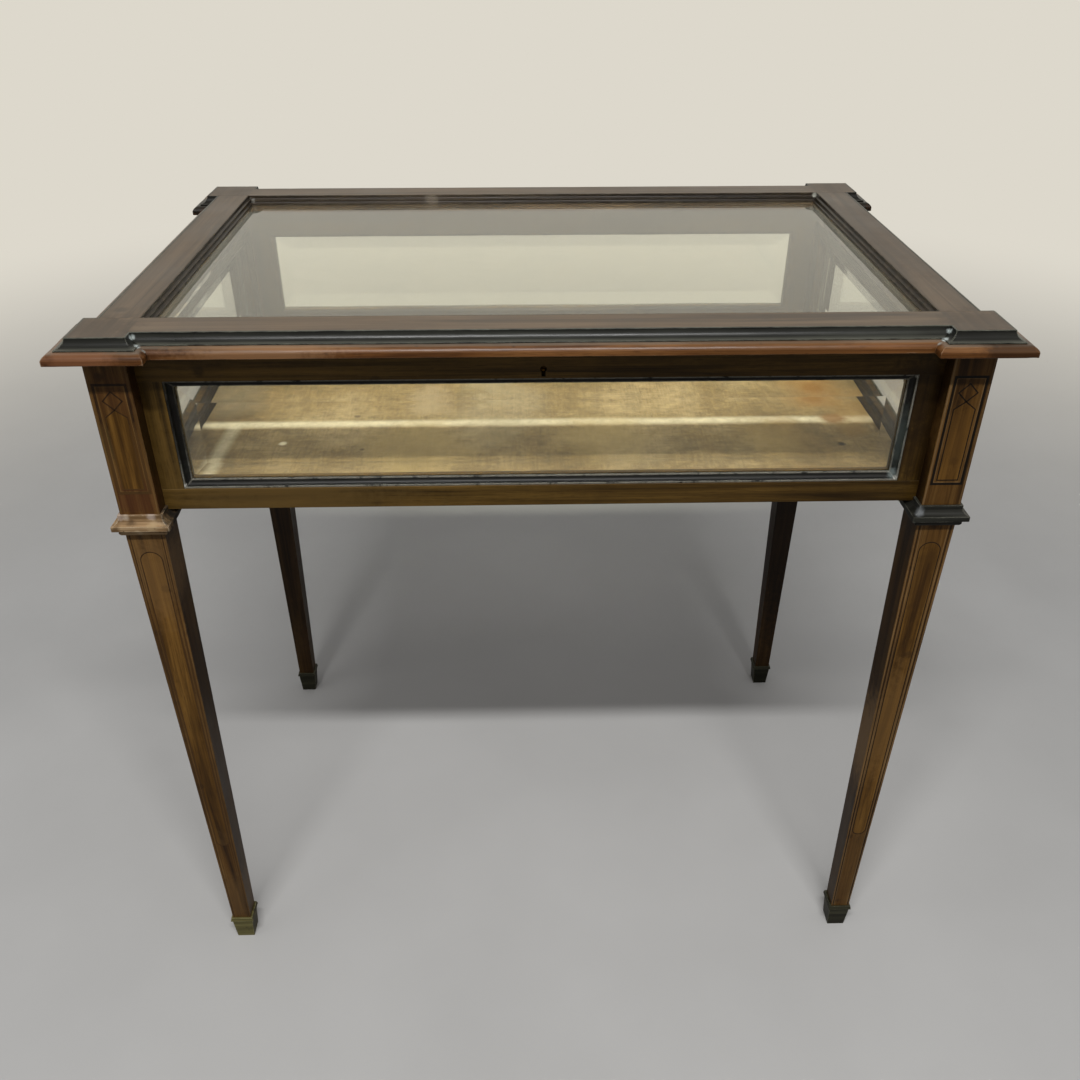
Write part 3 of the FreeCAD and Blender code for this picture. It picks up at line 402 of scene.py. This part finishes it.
def loop_path(share, low, high, steps=14):
    """A long loop down the shaft with round ends, at a share of the leg's half width."""
    ends = []
    for end, way in ((high, 1), (low, -1)):
        radius = share * leg_half(end)
        for step in range(steps + 1):
            turn = math.pi * step / steps
            z = end + way * radius * (math.sin(turn) - 1)
            ends.append((way * share * leg_half(z) * math.cos(turn), z))
    return ends


def shaft_line(share):
    """A straight line down the shaft, at a share of the leg's half width."""
    return [(share * leg_half(z), z) for z in (36.0, 573.0)]


block_frame = [(-13.4, 615.5), (13.4, 615.5), (13.4, 717.0), (-13.4, 717.0)]
block_line = [(-11.7, 617.2), (11.7, 617.2), (11.7, 715.4), (-11.7, 715.4)]
block_panel = [(-9.2, 619.3), (9.2, 619.3), (9.2, 687.5), (0, 694.5), (-9.2, 687.5)]
block_diamond = [(0, 694.5), (8, 702.6), (0, 711.0), (-8, 702.6)]
shaft_loop = loop_path(0.58, 160.5, 554.0)
shaft_panel = loop_path(0.54, 161.2, 553.2)
# each string as its path, its width in mm, and whether its ends meet
strings = {
    "ebony": [(block_frame, 2.2, True), (block_panel, 1.0, True), (block_diamond, 1.1, True),
              (shaft_loop, 0.9, True)]
             + [(shaft_line(side * 0.82), 0.9, False) for side in (-1, 1)],
    "boxwood": [(block_line, 0.6, True)]
               + [([(side * 16.2, 594.5), (side * 16.2, 737.0)], 1.3, False) for side in (-1, 1)]
               + [(shaft_line(side * share), 0.8, False)
                  for side in (-1, 1) for share in (0.71, 0.93)],
}
# near-black ebony under polish; boxwood gone the brown of the leg; veneer with dark heartwood
ebony = polished_wood(
    "ebony_stringing", Z, ("#0b0805", "#140e08", "#20160d"), "#3a2c1c", wear=0.3)
faded_ebony = polished_wood(
    "faded_ebony_stringing", Z, ("#190e05", "#28190b", "#392512"), "#42301a", wear=0.3,
    spots=((-358, -241, 640, 72, "#4f371a", 0.85), (-357, -236, 280, 430, "#4a331a", 0.8)))
boxwood = polished_wood(
    "browned_boxwood_stringing", Z, ("#4d3820", "#6d5334", "#846946"), "#937850", wear=0.2)
faded_boxwood = polished_wood(
    "faded_boxwood_stringing", Z, ("#3a2711", "#5d4322", "#745832"), "#7d623c", wear=0.2)
veneer = polished_wood(
    "figured_rosewood_veneer", Z, ("#311d05", "#5f4117", "#805c28"), "#6d4c20",
    # the back legs' veneer carries the same painted shade
    wear=0.1, dents=40, spots=back_leg_shade + (
        (355, -238, 330, 120, "#7f5e33", 0.45), (-362, -241, 522, 75, "#7d5d36", 0.5),
        (356, -240, 510, 70, "#33200b", 0.45), (-357, -234, 125, 90, "#5d4629", 0.4),
        (358, -241, 662, 60, "#63451f", 0.4)))
for corner in CORNERS:
    dark, pale = (faded_ebony, faded_boxwood) if corner == "front_left" else (ebony, boxwood)
    for kind, finish, slot in (("ebony", dark, "ebonised_wood"), ("boxwood", pale, "leg_rosewood"),
                               ("panels", veneer, "leg_rosewood")):
        shape = bmesh.new()
        for outward in (X, Y):
            at = partial(on_face, corner, outward)
            if kind == "panels":
                lay_panel(shape, at, block_panel)
                lay_panel(shape, at, shaft_panel)
            else:
                for path, width, closed in strings[kind]:
                    lay_string(shape, at, path, width, closed)
        bmesh.ops.recalc_face_normals(shape, faces=shape.faces)
        mesh = bpy.data.meshes.new(f"inlay_{kind}_{corner}")
        shape.to_mesh(mesh)
        shape.free()
        inlay = placed(mesh, finish)
        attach(inlay, "case")

# ---- Collars and foot cuffs -----------------------------------------------------------
# Ebonised beech: four mitred lengths of moulding round each leg, and a small flanged cup
# that the foot of the leg is let into. The stain is dull and rubs pale on the edges. The
# front left collar has been stripped to the wood, with some stain left in its hollow.
collar_ebonised = polished_wood(
    "ebonised_beech_collar", X, ("#12120f", "#242420", "#35352e"), "#8b8a7c",
    wear=0.9, roughness=0.4, coat=0.1, dents=18,
    spots=((336, -245, 590, 7, "#75787a", 0.7), (331, -228, 592, 6, "#6d7072", 0.6)))
collar_bare = polished_wood(
    "stripped_beech_collar", X, ("#513a20", "#8c7150", "#b39a78"), "#cdbda4",
    wear=1.2, roughness=0.6, coat=0.0, dents=9,
    spots=((-364, -243, 586, 7, "#3f2c16", 0.7), (-345, -246, 584, 8, "#ab9470", 0.7),
           (-377, -247, 581, 8, "#4a341c", 0.8), (-368, -242, 592, 5, "#b8a996", 0.8),
           (-352, -240, 590, 5, "#5a4326", 0.6), (-338, -247, 579, 5, "#4a361f", 0.6),
           (-358, -248, 578, 6, "#c0ad8e", 0.6), (-374, -242, 593, 6, "#b09f92", 0.7),
           (-346, -242, 593, 6, "#b3a396", 0.7), (-322, -226, 586, 34, "#12110e", 0.97),
           (-331, -236, 591, 4, "#8d9698", 0.8)))
# painted shade darkens the faces of the cuffs turned under the table
cuff_ebonised = polished_wood(
    "ebonised_beech_cuff", X, ("#1c1b12", "#353426", "#4a4937"), "#7a785f",
    wear=0.9, roughness=0.4, coat=0.1, under_shade=0.6, dents=14)
# the front left cuff has been rubbed to the colour of bronze
cuff_bronzed = polished_wood(
    "rubbed_ebonised_beech_cuff", X, ("#413c24", "#655f38", "#7f784c"), "#a8a27a",
    wear=1.0, roughness=0.4, coat=0.12, under_shade=0.4, dents=14)
for corner in CORNERS:
    collar, cuff, knocks = collar_ebonised, cuff_ebonised, 0.15
    if corner == "front_left":
        collar, cuff, knocks = collar_bare, cuff_bronzed, 0.8
    eased(f"collar_{corner}", 0.35, collar, knocks)
    eased(f"foot_cuff_{corner}", 0.4, cuff, 0.15)

# ---- Case frames ----------------------------------------------------------------------
# Each side of the case is a frame of solid rosewood, two rails and two stiles with stub
# tenons, flush at the face. It stands in the shade of the lid and has kept a darker, greener
# polish than the legs. Painted shade darkens its faces turned inward, the right stile beside
# its leg and the right of the bottom rail; painted light brightens the left of the bottom rail.
# the axis that each side runs along
SIDES = {"front": X, "back": X, "left": Y, "right": Y}
rail_wood = {
    axis: polished_wood(
        f"case_rosewood_{'xyz'[axis]}", axis, ("#261903", "#4f3a15", "#664d21"), "#7d653c",
        wear=0.4, roughness=0.42, coat=0.05, under_shade=0.24, dents=45,
        # painted shade on the right stile and the right of the bottom rail, painted light on its
        # left
        spots=((331, -227, 700, 55, "#1d1003", 0.7), (331, -227, 640, 45, "#1d1003", 0.65),
               (326, -232, 672, 42, "#170d03", 0.6), (162, -232, 603, 260, "#2b1c09", 0.28),
               (-229, -232, 602, 200, "#66502b", 0.28), (-230, -227, 600, 110, "#5c4724", 0.5)))
    for axis in (X, Y, Z)}
for side, run in SIDES.items():
    for level in ("top", "bottom"):
        eased(f"{side}_{level}_rail", 0.4, rail_wood[run])
    eased(f"{side}_stiles", 0.4, rail_wood[Z])

# ---- Panes, beads and stops -----------------------------------------------------------
# Bevelled plate glass in each frame, held from outside by a mitred ebonised bead with a
# hollow, and backed by a rounded stop. Old plate is faintly green, not quite flat, and has
# a film of dust. The bead's mitres have lost their stain and are painted pale, as chips and
# painted glints; its arrises are rubbed pale wide enough to be painted highlights too; the
# right bead's hollow carries painted reflections, and the left bead is painted darker.
bead_chips_and_glints = ((-317, -224, 613.5, 2.5, "#c4c2ba", 0.95), (316, -224, 613.5, 3, "#c0bfb6", 0.9),
              (316, -224, 710.5, 3, "#a4a49c", 0.8), (312, -224, 616, 2.5, "#b3b3ab", 0.8),
              (-319, -224, 665, 55, "#0a0806", 0.85), (-315, -226, 692, 38, "#0a0806", 0.6),
              (313.5, -222, 650, 40, "#4a534f", 0.35), (313, -223, 617, 7, "#87928f", 0.55))
bead_ebonised = {
    axis: polished_wood(
        f"ebonised_beech_bead_{'xyz'[axis]}", axis, ("#0a0a0a", "#161614", "#24241f"), "#8f8c80",
        wear=3.6, roughness=0.42, coat=0.05, arris=2, spots=bead_chips_and_glints)
    for axis in (X, Y)}
for side, run in SIDES.items():
    eased(f"{side}_bead", 0.3, bead_ebonised[run])
eased("pane_stops", 0.3, rail_wood[X])


def plate_glass(name, tint, dust, bevel):
    """Clear old glass that lets lamps through.

    dust is the share of it that a film of dust hides, and bevel how much more its ground
    bevel hides.
    """
    finish, tree = new_finish(name)
    place = add(tree, "TexCoord").outputs["Object"]
    # ripples about 70 mm across, from rolling and polishing
    ripple = add(tree, "TexNoise", {"Vector": place, "Scale": 1 / (70 * MM),
                                    "Detail": 1}).outputs["Fac"]
    relief = add(tree, "Bump", {"Strength": 0.05, "Distance": 1 * MM, "Height": ripple}).outputs[0]
    clear = add(tree, "BsdfPrincipled", {
        "Base Color": linear(tint), "Roughness": 0.01, "IOR": 1.5,
        "Transmission Weight": 1, "Normal": relief})
    # smears about 40 mm across
    smear = add(tree, "TexNoise", {"Vector": place, "Scale": 1 / (40 * MM), "Detail": 5,
                                   "Roughness": 0.7}).outputs["Fac"]
    film = add(tree, "MapRange", {"Value": smear, "From Min": 0.35, "From Max": 0.75,
                                  "To Min": dust * 0.5, "To Max": dust * 1.6}).outputs[0]
    # the bevel is found by its slope: its normal isn't along an axis, as the sheet's own is
    facing = add(tree, "SeparateXYZ", {0: add(tree, "TexCoord").outputs["Normal"]}).outputs
    straight = add(tree, "Math", {0: facing[0]}, operation="ABSOLUTE").outputs[0]
    for way in facing[1:]:
        way = add(tree, "Math", {0: way}, operation="ABSOLUTE").outputs[0]
        straight = add(tree, "Math", {0: straight, 1: way}, operation="MAXIMUM").outputs[0]
    ground = add(tree, "MapRange", {"Value": straight, "From Min": 0.999, "From Max": 0.996,
                                    "To Max": bevel}).outputs[0]
    film = add(tree, "Math", {0: film, 1: ground}, operation="ADD").outputs[0]
    haze = add(tree, "BsdfDiffuse", {"Color": linear("#c2c1b0")})
    seen = add(tree, "MixShader", {0: film, 1: clear.outputs[0], 2: haze.outputs[0]})
    lamp = add(tree, "LightPath").outputs["Is Shadow Ray"]
    through = add(tree, "BsdfTransparent", {"Color": linear("#f1f1ec")})
    both = add(tree, "MixShader", {0: lamp, 1: seen.outputs[0], 2: through.outputs[0]})
    add(tree, "OutputMaterial", {"Surface": both.outputs[0]})
    return finish


def refinish(node, finish):
    """Give a CAD piece whose shape stays a better finish."""
    for slot in frame["nodes"][node].material_slots:
        slot.material = finish


pane_glass = plate_glass("bevelled_plate_glass", "#fffff9", 0.007, 0.035)
for side in SIDES:
    refinish(f"{side}_pane", pane_glass)

# ---- Floor of the case ----------------------------------------------------------------
# A pine board on battens, covered with a gold silk-and-cotton lining over thin felt. The
# cloth is faded, has rust and damp stains and grey dirt, and lies in soft creases where it
# has been folded: one across its width and one running forward near its left end.
LINING_X, LINING_Y = 337.7, 205.6
LINING_LOW, LINING_TOP = 603.8, 605.9
CREASE_Y, CREASE_HEIGHT = -85.0, 0.7
FOLD_FROM, FOLD_TO, FOLD_HEIGHT = (-305, -84), (-309, -190), 0.5
CREST_WIDTH = 5


def silk_lining():
    """Plain-woven gold silk and cotton, whose threads are raised ribs with a soft lustre."""
    finish, tree = new_finish("gold_silk_and_cotton_lining")
    place = add(tree, "TexCoord").outputs["Object"]
    # fading in clouds 110 mm across, and a mottle of dirt 12 mm across
    fade = add(tree, "TexNoise", {"Vector": place, "Scale": 1 / (110 * MM), "Detail": 5,
                                  "Roughness": 0.62}).outputs["Fac"]
    colour = add(tree, "ValToRGB", {"Fac": fade},
                 stops=[(0.34, "#6c5731"), (0.5, "#8e784e"), (0.66, "#aa946b")]).outputs[0]
    mottle = add(tree, "TexNoise", {"Vector": place, "Scale": 1 / (12 * MM), "Detail": 6,
                                    "Roughness": 0.75}).outputs["Fac"]
    mottle = add(tree, "MapRange", {"Value": mottle, "From Min": 0.34, "From Max": 0.64,
                                    "To Min": 0.7, "To Max": 1.16}).outputs[0]
    colour = add(tree, "VectorMath", {0: colour, "Scale": mottle}, operation="SCALE").outputs[0]

    # threads are really 0.3 mm apart and are drawn 1.6 mm apart so that they show
    threads = []
    for axis in (X, Y):
        scale = [1 / (30 * MM)] * 3
        scale[axis] = 1 / (1.6 * MM)
        drawn = add(tree, "VectorMath", {0: place, 1: scale}, operation="MULTIPLY").outputs[0]
        threads.append(add(tree, "TexNoise", {"Vector": drawn, "Scale": 1,
                                              "Detail": 1}).outputs["Fac"])
    weave = add(tree, "Math", {0: threads[0], 1: threads[1]}, operation="ADD").outputs[0]
    slub = add(tree, "MapRange", {"Value": weave, "From Min": 0.7, "From Max": 1.3,
                                  "To Min": 0.82, "To Max": 1.14}).outputs[0]
    colour = add(tree, "VectorMath", {0: colour, "Scale": slub}, operation="SCALE").outputs[0]

    # the folds' crests are painted pale: worn threads and a painted line of gathered light
    parts = add(tree, "SeparateXYZ", {0: place}).outputs
    across = add(tree, "Math", {0: parts["Y"], 1: -CREASE_Y * MM}, operation="ADD").outputs[0]
    run = (FOLD_TO[0] - FOLD_FROM[0]) / (FOLD_TO[1] - FOLD_FROM[1])
    aside = add(tree, "Math", {0: parts["Y"], 1: -run, 2: parts["X"]},
                operation="MULTIPLY_ADD").outputs[0]
    aside = add(tree, "Math", {0: aside, 1: (run * FOLD_FROM[1] - FOLD_FROM[0]) * MM},
                operation="ADD").outputs[0]
    in_front = add(tree, "MapRange", {
        "Value": parts["Y"], "From Min": (CREASE_Y + CREST_WIDTH) * MM,
        "From Max": (CREASE_Y - CREST_WIDTH) * MM}).outputs[0]
    for off, wide, strength, part in ((across, 12, 0.75, None), (aside, 11, 0.55, in_front)):
        off = add(tree, "Math", {0: off}, operation="ABSOLUTE").outputs[0]
        crest_light = add(tree, "MapRange", {"Value": off, "From Min": wide * MM, "From Max": 1 * MM,
                                      "To Max": strength},
                   interpolation_type="SMOOTHSTEP").outputs[0]
        crest_light = add(tree, "Math", {0: crest_light, 1: mottle}, operation="MULTIPLY").outputs[0]
        if part:
            crest_light = add(tree, "Math", {0: crest_light, 1: part}, operation="MULTIPLY").outputs[0]
        colour = add(tree, "Mix", {0: crest_light, 6: colour, 7: linear("#eadfc0")},
                     data_type="RGBA").outputs[2]
    # rust, damp, dirt and pale rubbed places lie over the folds too; painted light lifts the
    # shaded strip in front of the crease
    level = LINING_TOP
    colour = lay_spots(tree, place, colour, (
        (290, -30, level, 46, "#a07434", 0.5), (330, -66, level, 44, "#96702f", 0.45),
        (290, -33, level, 17, "#845a1e", 0.75), (298, -83, level, 18, "#805618", 0.85),
        (310, -109, level, 24, "#80601f", 0.6), (245, -90, level, 24, "#9a7434", 0.3),
        (-40, -60, level, 70, "#8f8878", 0.25), (192, -143, level, 30, "#6a5f42", 0.35),
        (140, -134, level, 24, "#655a3e", 0.35), (90, -150, level, 50, "#6f6650", 0.2),
        (-318, -30, level, 50, "#6f6552", 0.55), (-120, -140, level, 80, "#b39c68", 0.5),
        (60, -120, level, 70, "#b39c68", 0.5), (230, -125, level, 60, "#a98f58", 0.45),
        (60, 60, level, 80, "#a98450", 0.35), (-120, 110, level, 70, "#a18455", 0.3),
        (220, 130, level, 60, "#9a7a48", 0.35), (-250.5, -126.5, level, 5.5, "#f2ead2", 0.9),
        (291.8, -139.7, level, 6.5, "#2c2419", 0.95), (-186, -67, level, 5, "#54442c", 0.8),
        (-172, -141, level, 3.5, "#4a3a24", 0.8), (-112, -44, level, 34, "#b9a687", 0.4),
        (-50, -110, level, 50, "#b5a684", 0.3), (-54, -10, level, 50, "#bdb08e", 0.3)), 22)
    relief = add(tree, "Bump", {"Strength": 0.4, "Distance": 0.3 * MM, "Height": weave}).outputs[0]
    cloth = add(tree, "BsdfPrincipled", {
        "Base Color": colour, "Roughness": 0.65, "Specular IOR Level": 0.25, "Sheen Weight": 0.12,
        "Sheen Roughness": 0.4, "Normal": relief})
    add(tree, "OutputMaterial", {"Surface": cloth.outputs[0]})
    return finish


shape = bmesh.new()
columns, rows = 170, 104  # one every 4 mm, finer than the creases are wide
bmesh.ops.create_grid(shape, x_segments=columns, y_segments=rows, size=1)
for point in shape.verts:
    x, y = point.co.x * LINING_X, point.co.y * LINING_Y
    crest = CREASE_HEIGHT * math.exp(-((y - CREASE_Y) / CREST_WIDTH) ** 2)
    if y < CREASE_Y:
        share = (y - FOLD_FROM[1]) / (FOLD_TO[1] - FOLD_FROM[1])
        aside = x - FOLD_FROM[0] - share * (FOLD_TO[0] - FOLD_FROM[0])
        crest = max(crest, FOLD_HEIGHT * math.exp(-(aside / CREST_WIDTH) ** 2))
    ripple = 0.5 * noise.noise((x / 70, y / 45, 3.0)) + 0.25 * noise.noise((x / 22, y / 18, 8.0))
    point.co = Vector((x, y, LINING_TOP - 0.8 + min(0.75, crest + ripple))) * MM
top = shape.faces[:]
sides = bmesh.ops.extrude_face_region(shape, geom=top)
for thing in sides["geom"]:
    if isinstance(thing, bmesh.types.BMVert):
        thing.co.z = LINING_LOW * MM
bmesh.ops.recalc_face_normals(shape, faces=shape.faces)
mesh = bpy.data.meshes.new("silk_lining")
shape.to_mesh(mesh)
shape.free()
mesh.shade_smooth()
mesh.set_sharp_from_angle(angle=math.radians(50))
lining = placed(mesh, silk_lining())
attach(lining, "case")
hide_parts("lining")

# pine gone orange brown underneath, planed but never polished
pine = polished_wood(
    "planed_aged_pine", X, ("#6e4f2e", "#96713f", "#b58f58"), "#b89a68",
    wear=0.2, roughness=0.6, coat=0.0)
eased("base_board", 0.4, pine)
eased("base_battens", 0.4, pine)

# ---- Lid ------------------------------------------------------------------------------
# A flat rosewood frame, dulled grey brown by dust and sun, its top under a film of dust and a
# painted sheen, with corner blocks that break forward and whose grain turns to run from front
# to back. A stepped ebonised moulding holds a sheet of bevelled plate on a ledge inside it.
# grime darkens the tops of the corner blocks, where the lid is taken hold of
block_grime = tuple((x, y, 760, 46, "#3a2e23", 0.7) for x in (-358, 358) for y in (-228, 228))
BLOCK_FROM = 333
lid_wood = {
    axis: polished_wood(
        f"lid_rosewood_{'xyz'[axis]}", axis, tones, "#94826c",
        wear=0.5, roughness=0.36, coat=0.08, dust=("#72685b", 0.28), turn=turn, dents=60,
        spots=block_grime + ((346, 30, 760, 220, "#41362c", 0.5),))
    for axis, tones, turn in ((X, ("#2b2018", "#56432f", "#705b45"), BLOCK_FROM),
                              (Y, ("#241b14", "#4a3a2a", "#634f3b"), 0))}
inner_ebonised = polished_wood(
    "ebonised_beech_glazing_moulding", X, ("#120d08", "#251d14", "#392f22"), "#7f7463",
    wear=0.9, roughness=0.36, coat=0.12,
    spots=((-331, 206, 757, 5, "#8f9089", 0.85), (-327, 203, 754, 4, "#8a8b86", 0.7),
           (331, 203, 757, 5, "#9a9a90", 0.85), (-120, 201, 754, 12, "#6f6558", 0.5)))
for side, run in SIDES.items():
    eased(f"lid_{side}_rail", 0.45, lid_wood[run])
eased("lid_inner_moulding", 0.25, inner_ebonised)
refinish("lid_glass", plate_glass("bevelled_lid_glass", "#f4f5ea", 0.017, 0.03))

# ---- Cove and thumb mouldings ---------------------------------------------------------
# An ebonised cove over a brown rosewood thumb, planted on the lid's edge and mitred round
# each corner block, with pale filler in the front mitres; the returns at the back corners are
# darkened nearly black. The level faces of both carry dust and a painted sheen. Hands take
# hold of the thumb: it is orange brown, bruised, and bare along its lower arris.
mitre_and_return_marks = tuple(
    (way * x, y, z, radius, tone, strength)
    for way in (-1, 1) for x, y, z, radius, tone, strength in (
        (329, -239, 757, 3.6, "#a9b1ae", 0.95), (324, -246, 751, 4, "#b5bcb9", 0.95),
        (334, -246, 755, 3, "#8f9794", 0.8), (319, -250, 748, 3.5, "#9aa19d", 0.85),
        # the returns at the back corners, darkened nearly black
        (386, 203, 748, 46, "#0e0d09", 0.97)))
cove_ebonised = {
    axis: polished_wood(
        f"ebonised_beech_cove_{'xyz'[axis]}", axis, ("#0c0d0b", "#191a17", "#282923"), "#8b8c7c",
        wear=0.9, roughness=0.33, coat=0.12, dust=("#6c6c61", 0.4), spots=mitre_and_return_marks)
    for axis in (X, Y)}
thumb_wood = {
    axis: polished_wood(
        f"edge_rosewood_{'xyz'[axis]}", axis, ("#341b0b", "#66401e", "#825a33"), "#a98a6c",
        wear=0.8, roughness=0.34, coat=0.15, dust=("#746a5d", 0.65), dents=15,
        spots=mitre_and_return_marks + (
            (378, -262, 747, 44, "#2a180a", 0.75), (-366, -262, 747, 44, "#83573a", 0.5),
            (-230, -250, 746, 95, "#94704f", 0.45), (190, -250, 746, 110, "#543619", 0.45)))
    for axis in (X, Y)}
for side, run in SIDES.items():
    eased(f"lid_{side}_cove", 0.35, cove_ebonised[run], 0.12)
    eased(f"lid_{side}_thumb", 0.6, thumb_wood[run], 0.35)


# ---- Hinges, lock and screws ----------------------------------------------------------
# Cast and drawn brass, lacquer long gone: brown and dull in the open, brighter where parts
# rub, with fine turning and filing marks. The thin lining of the keyhole is painted nearly
# black, as painted shade in the hole.
def aged_brass(name, tones, roughness):
    """Brass that has browned in patches, with fine scratches."""
    finish, tree = new_finish(name)
    place = add(tree, "TexCoord").outputs["Object"]
    # patches 4.5 mm across; scratches 0.4 mm apart, drawn so that they show
    patches = add(tree, "TexNoise", {"Vector": place, "Scale": 1 / (4.5 * MM), "Detail": 5,
                                     "Roughness": 0.65}).outputs["Fac"]
    colour = add(tree, "ValToRGB", {"Fac": patches},
                 stops=[(0.35, tones[0]), (0.55, tones[1]), (0.7, tones[2])]).outputs[0]
    scratch = add(tree, "VectorMath", {0: place, 1: [1 / (8 * MM), 1 / (0.4 * MM), 1 / (0.4 * MM)]},
                  operation="MULTIPLY").outputs[0]
    scratch = add(tree, "TexNoise", {"Vector": scratch, "Scale": 1, "Detail": 2}).outputs["Fac"]
    gloss = add(tree, "MapRange", {"Value": patches, "From Min": 0.3, "From Max": 0.7,
                                   "To Min": roughness + 0.15, "To Max": roughness}).outputs[0]
    relief = add(tree, "Bump", {"Strength": 0.15, "Distance": 0.1 * MM,
                                "Height": scratch}).outputs[0]
    metal = add(tree, "BsdfPrincipled", {
        "Base Color": colour, "Metallic": 1, "Roughness": gloss, "Normal": relief})
    add(tree, "OutputMaterial", {"Surface": metal.outputs[0]})
    return finish


brass = aged_brass("aged_cast_brass", ("#6b5228", "#9c7b3f", "#c0a05c"), 0.32)
keyhole_shade_brass = aged_brass("brass_liner_in_painted_shade", ("#140f07", "#241b0e", "#3a2d18"), 0.45)
screw_brass = aged_brass("browned_turned_brass", ("#5a431f", "#86673a", "#a98a52"), 0.38)
for node in ("hinge_case_leaves", "hinge_lid_leaves", "hinge_pins",
             "lock_case", "lock_bolt", "lock_link_plate"):
    refinish(node, brass)
refinish("keyhole_liner", keyhole_shade_brass)
for node in ("case_screws", "lid_screws"):
    refinish(node, screw_brass)

# ---- Floor, light and camera ----------------------------------------------------------
# A pale grey seamless floor runs to the horizon and fades to white paper far off. One long
# strip light above and in front lights the table over a low, even sky, with a weak softbox
# at the left.
# metres from the middle: how far the floor runs, and where it fades to the far paper
FLOOR_REACH, FADE_FROM, FADE_TO = 40.0, 0.9, 3.2
FAR_PAPER = "#ddd8cc"
shape = bmesh.new()
bmesh.ops.create_circle(shape, cap_ends=True, segments=96, radius=FLOOR_REACH)
mesh = bpy.data.meshes.new("studio_floor")
shape.to_mesh(mesh)
shape.free()
paper, tree = new_finish("pale_studio_paper")
place = add(tree, "TexCoord").outputs["Object"]
path = add(tree, "LightPath")
seen = add(tree, "Math", {0: path.outputs["Is Camera Ray"], 1: path.outputs["Is Transmission Ray"]},
           operation="MAXIMUM").outputs[0]
# clouds of tone about 330 mm across; the light that the paper throws back is kept low
tooth = add(tree, "TexNoise", {"Vector": place, "Scale": 1 / (330 * MM),
                               "Detail": 4}).outputs["Fac"]
tone = add(tree, "ValToRGB", {"Fac": tooth}, stops=[(0.3, "#bbbab8"), (0.7, "#c3c2c0")]).outputs[0]
tone = add(tree, "Mix", {0: seen, 6: linear("#8d8b88"), 7: tone}, data_type="RGBA").outputs[2]
sheet = add(tree, "BsdfDiffuse", {"Color": tone})
glow = add(tree, "Emission", {"Color": linear(FAR_PAPER), "Strength": 1})
reach = add(tree, "VectorMath", {0: place}, operation="LENGTH").outputs["Value"]
far = add(tree, "MapRange", {"Value": reach, "From Min": FADE_FROM, "From Max": FADE_TO},
          interpolation_type="SMOOTHSTEP").outputs[0]
far = add(tree, "Math", {0: far, 1: seen}, operation="MULTIPLY").outputs[0]
both = add(tree, "MixShader", {0: far, 1: sheet.outputs[0], 2: glow.outputs[0]})
add(tree, "OutputMaterial", {"Surface": both.outputs[0]})
placed(mesh, paper)

# the sky shows as paper to the eye, in polish and through glass, and gives a dim even light
sky = bpy.data.worlds.new("studio_sky")
bpy.context.scene.world = sky
sky.use_nodes = True
tree = sky.node_tree
tree.nodes.clear()
path = add(tree, "LightPath")
shows = path.outputs["Is Camera Ray"]
for ray in ("Is Glossy Ray", "Is Transmission Ray"):
    shows = add(tree, "Math", {0: shows, 1: path.outputs[ray]}, operation="MAXIMUM").outputs[0]
dim = add(tree, "Background", {"Color": linear("#ffffff"), "Strength": 0.27})
white = add(tree, "Background", {"Color": linear(FAR_PAPER), "Strength": 1.0})
both = add(tree, "MixShader", {0: shows, 1: dim.outputs[0], 2: white.outputs[0]})
add(tree, "OutputWorld", {"Surface": both.outputs[0]})

# lamps point at the middle of the case, from a direction and a distance
MIDDLE = Vector((0, 0, 0.62))
for name, way, distance, width, height, power in (
        ("strip_above", (-0.02, -0.603, 0.798), 2.61, 1.5, 0.1, 58),
        ("softbox_left", (-0.75, -0.35, 0.45), 3.2, 1.6, 1.6, 5)):
    lamp = bpy.data.lights.new(name, "AREA")
    lamp.shape = "RECTANGLE"
    lamp.size, lamp.size_y = width, height
    lamp.energy = power
    softbox = bpy.data.objects.new(name, lamp)
    softbox.location = MIDDLE + Vector(way).normalized() * distance
    softbox.rotation_euler = Vector(way).to_track_quat("Z", "Y").to_euler()
    bpy.context.collection.objects.link(softbox)

FRAME_WIDTH, FOCAL_PIXELS, SENSOR = 1080, 1013.5, 36.0
EYE_AT, TILT, TURN = (-0.0214, -1.0155, 1.0532), math.radians(57.62), math.radians(-1.34)
eye = bpy.data.cameras.new("camera")
eye.sensor_width = SENSOR
eye.lens = SENSOR * FOCAL_PIXELS / FRAME_WIDTH
camera = bpy.data.objects.new("camera", eye)
camera.location = EYE_AT
camera.rotation_euler = (TILT, 0, TURN)
bpy.context.collection.objects.link(camera)
bpy.context.scene.camera = camera
bpy.context.scene.view_settings.view_transform = "Standard"
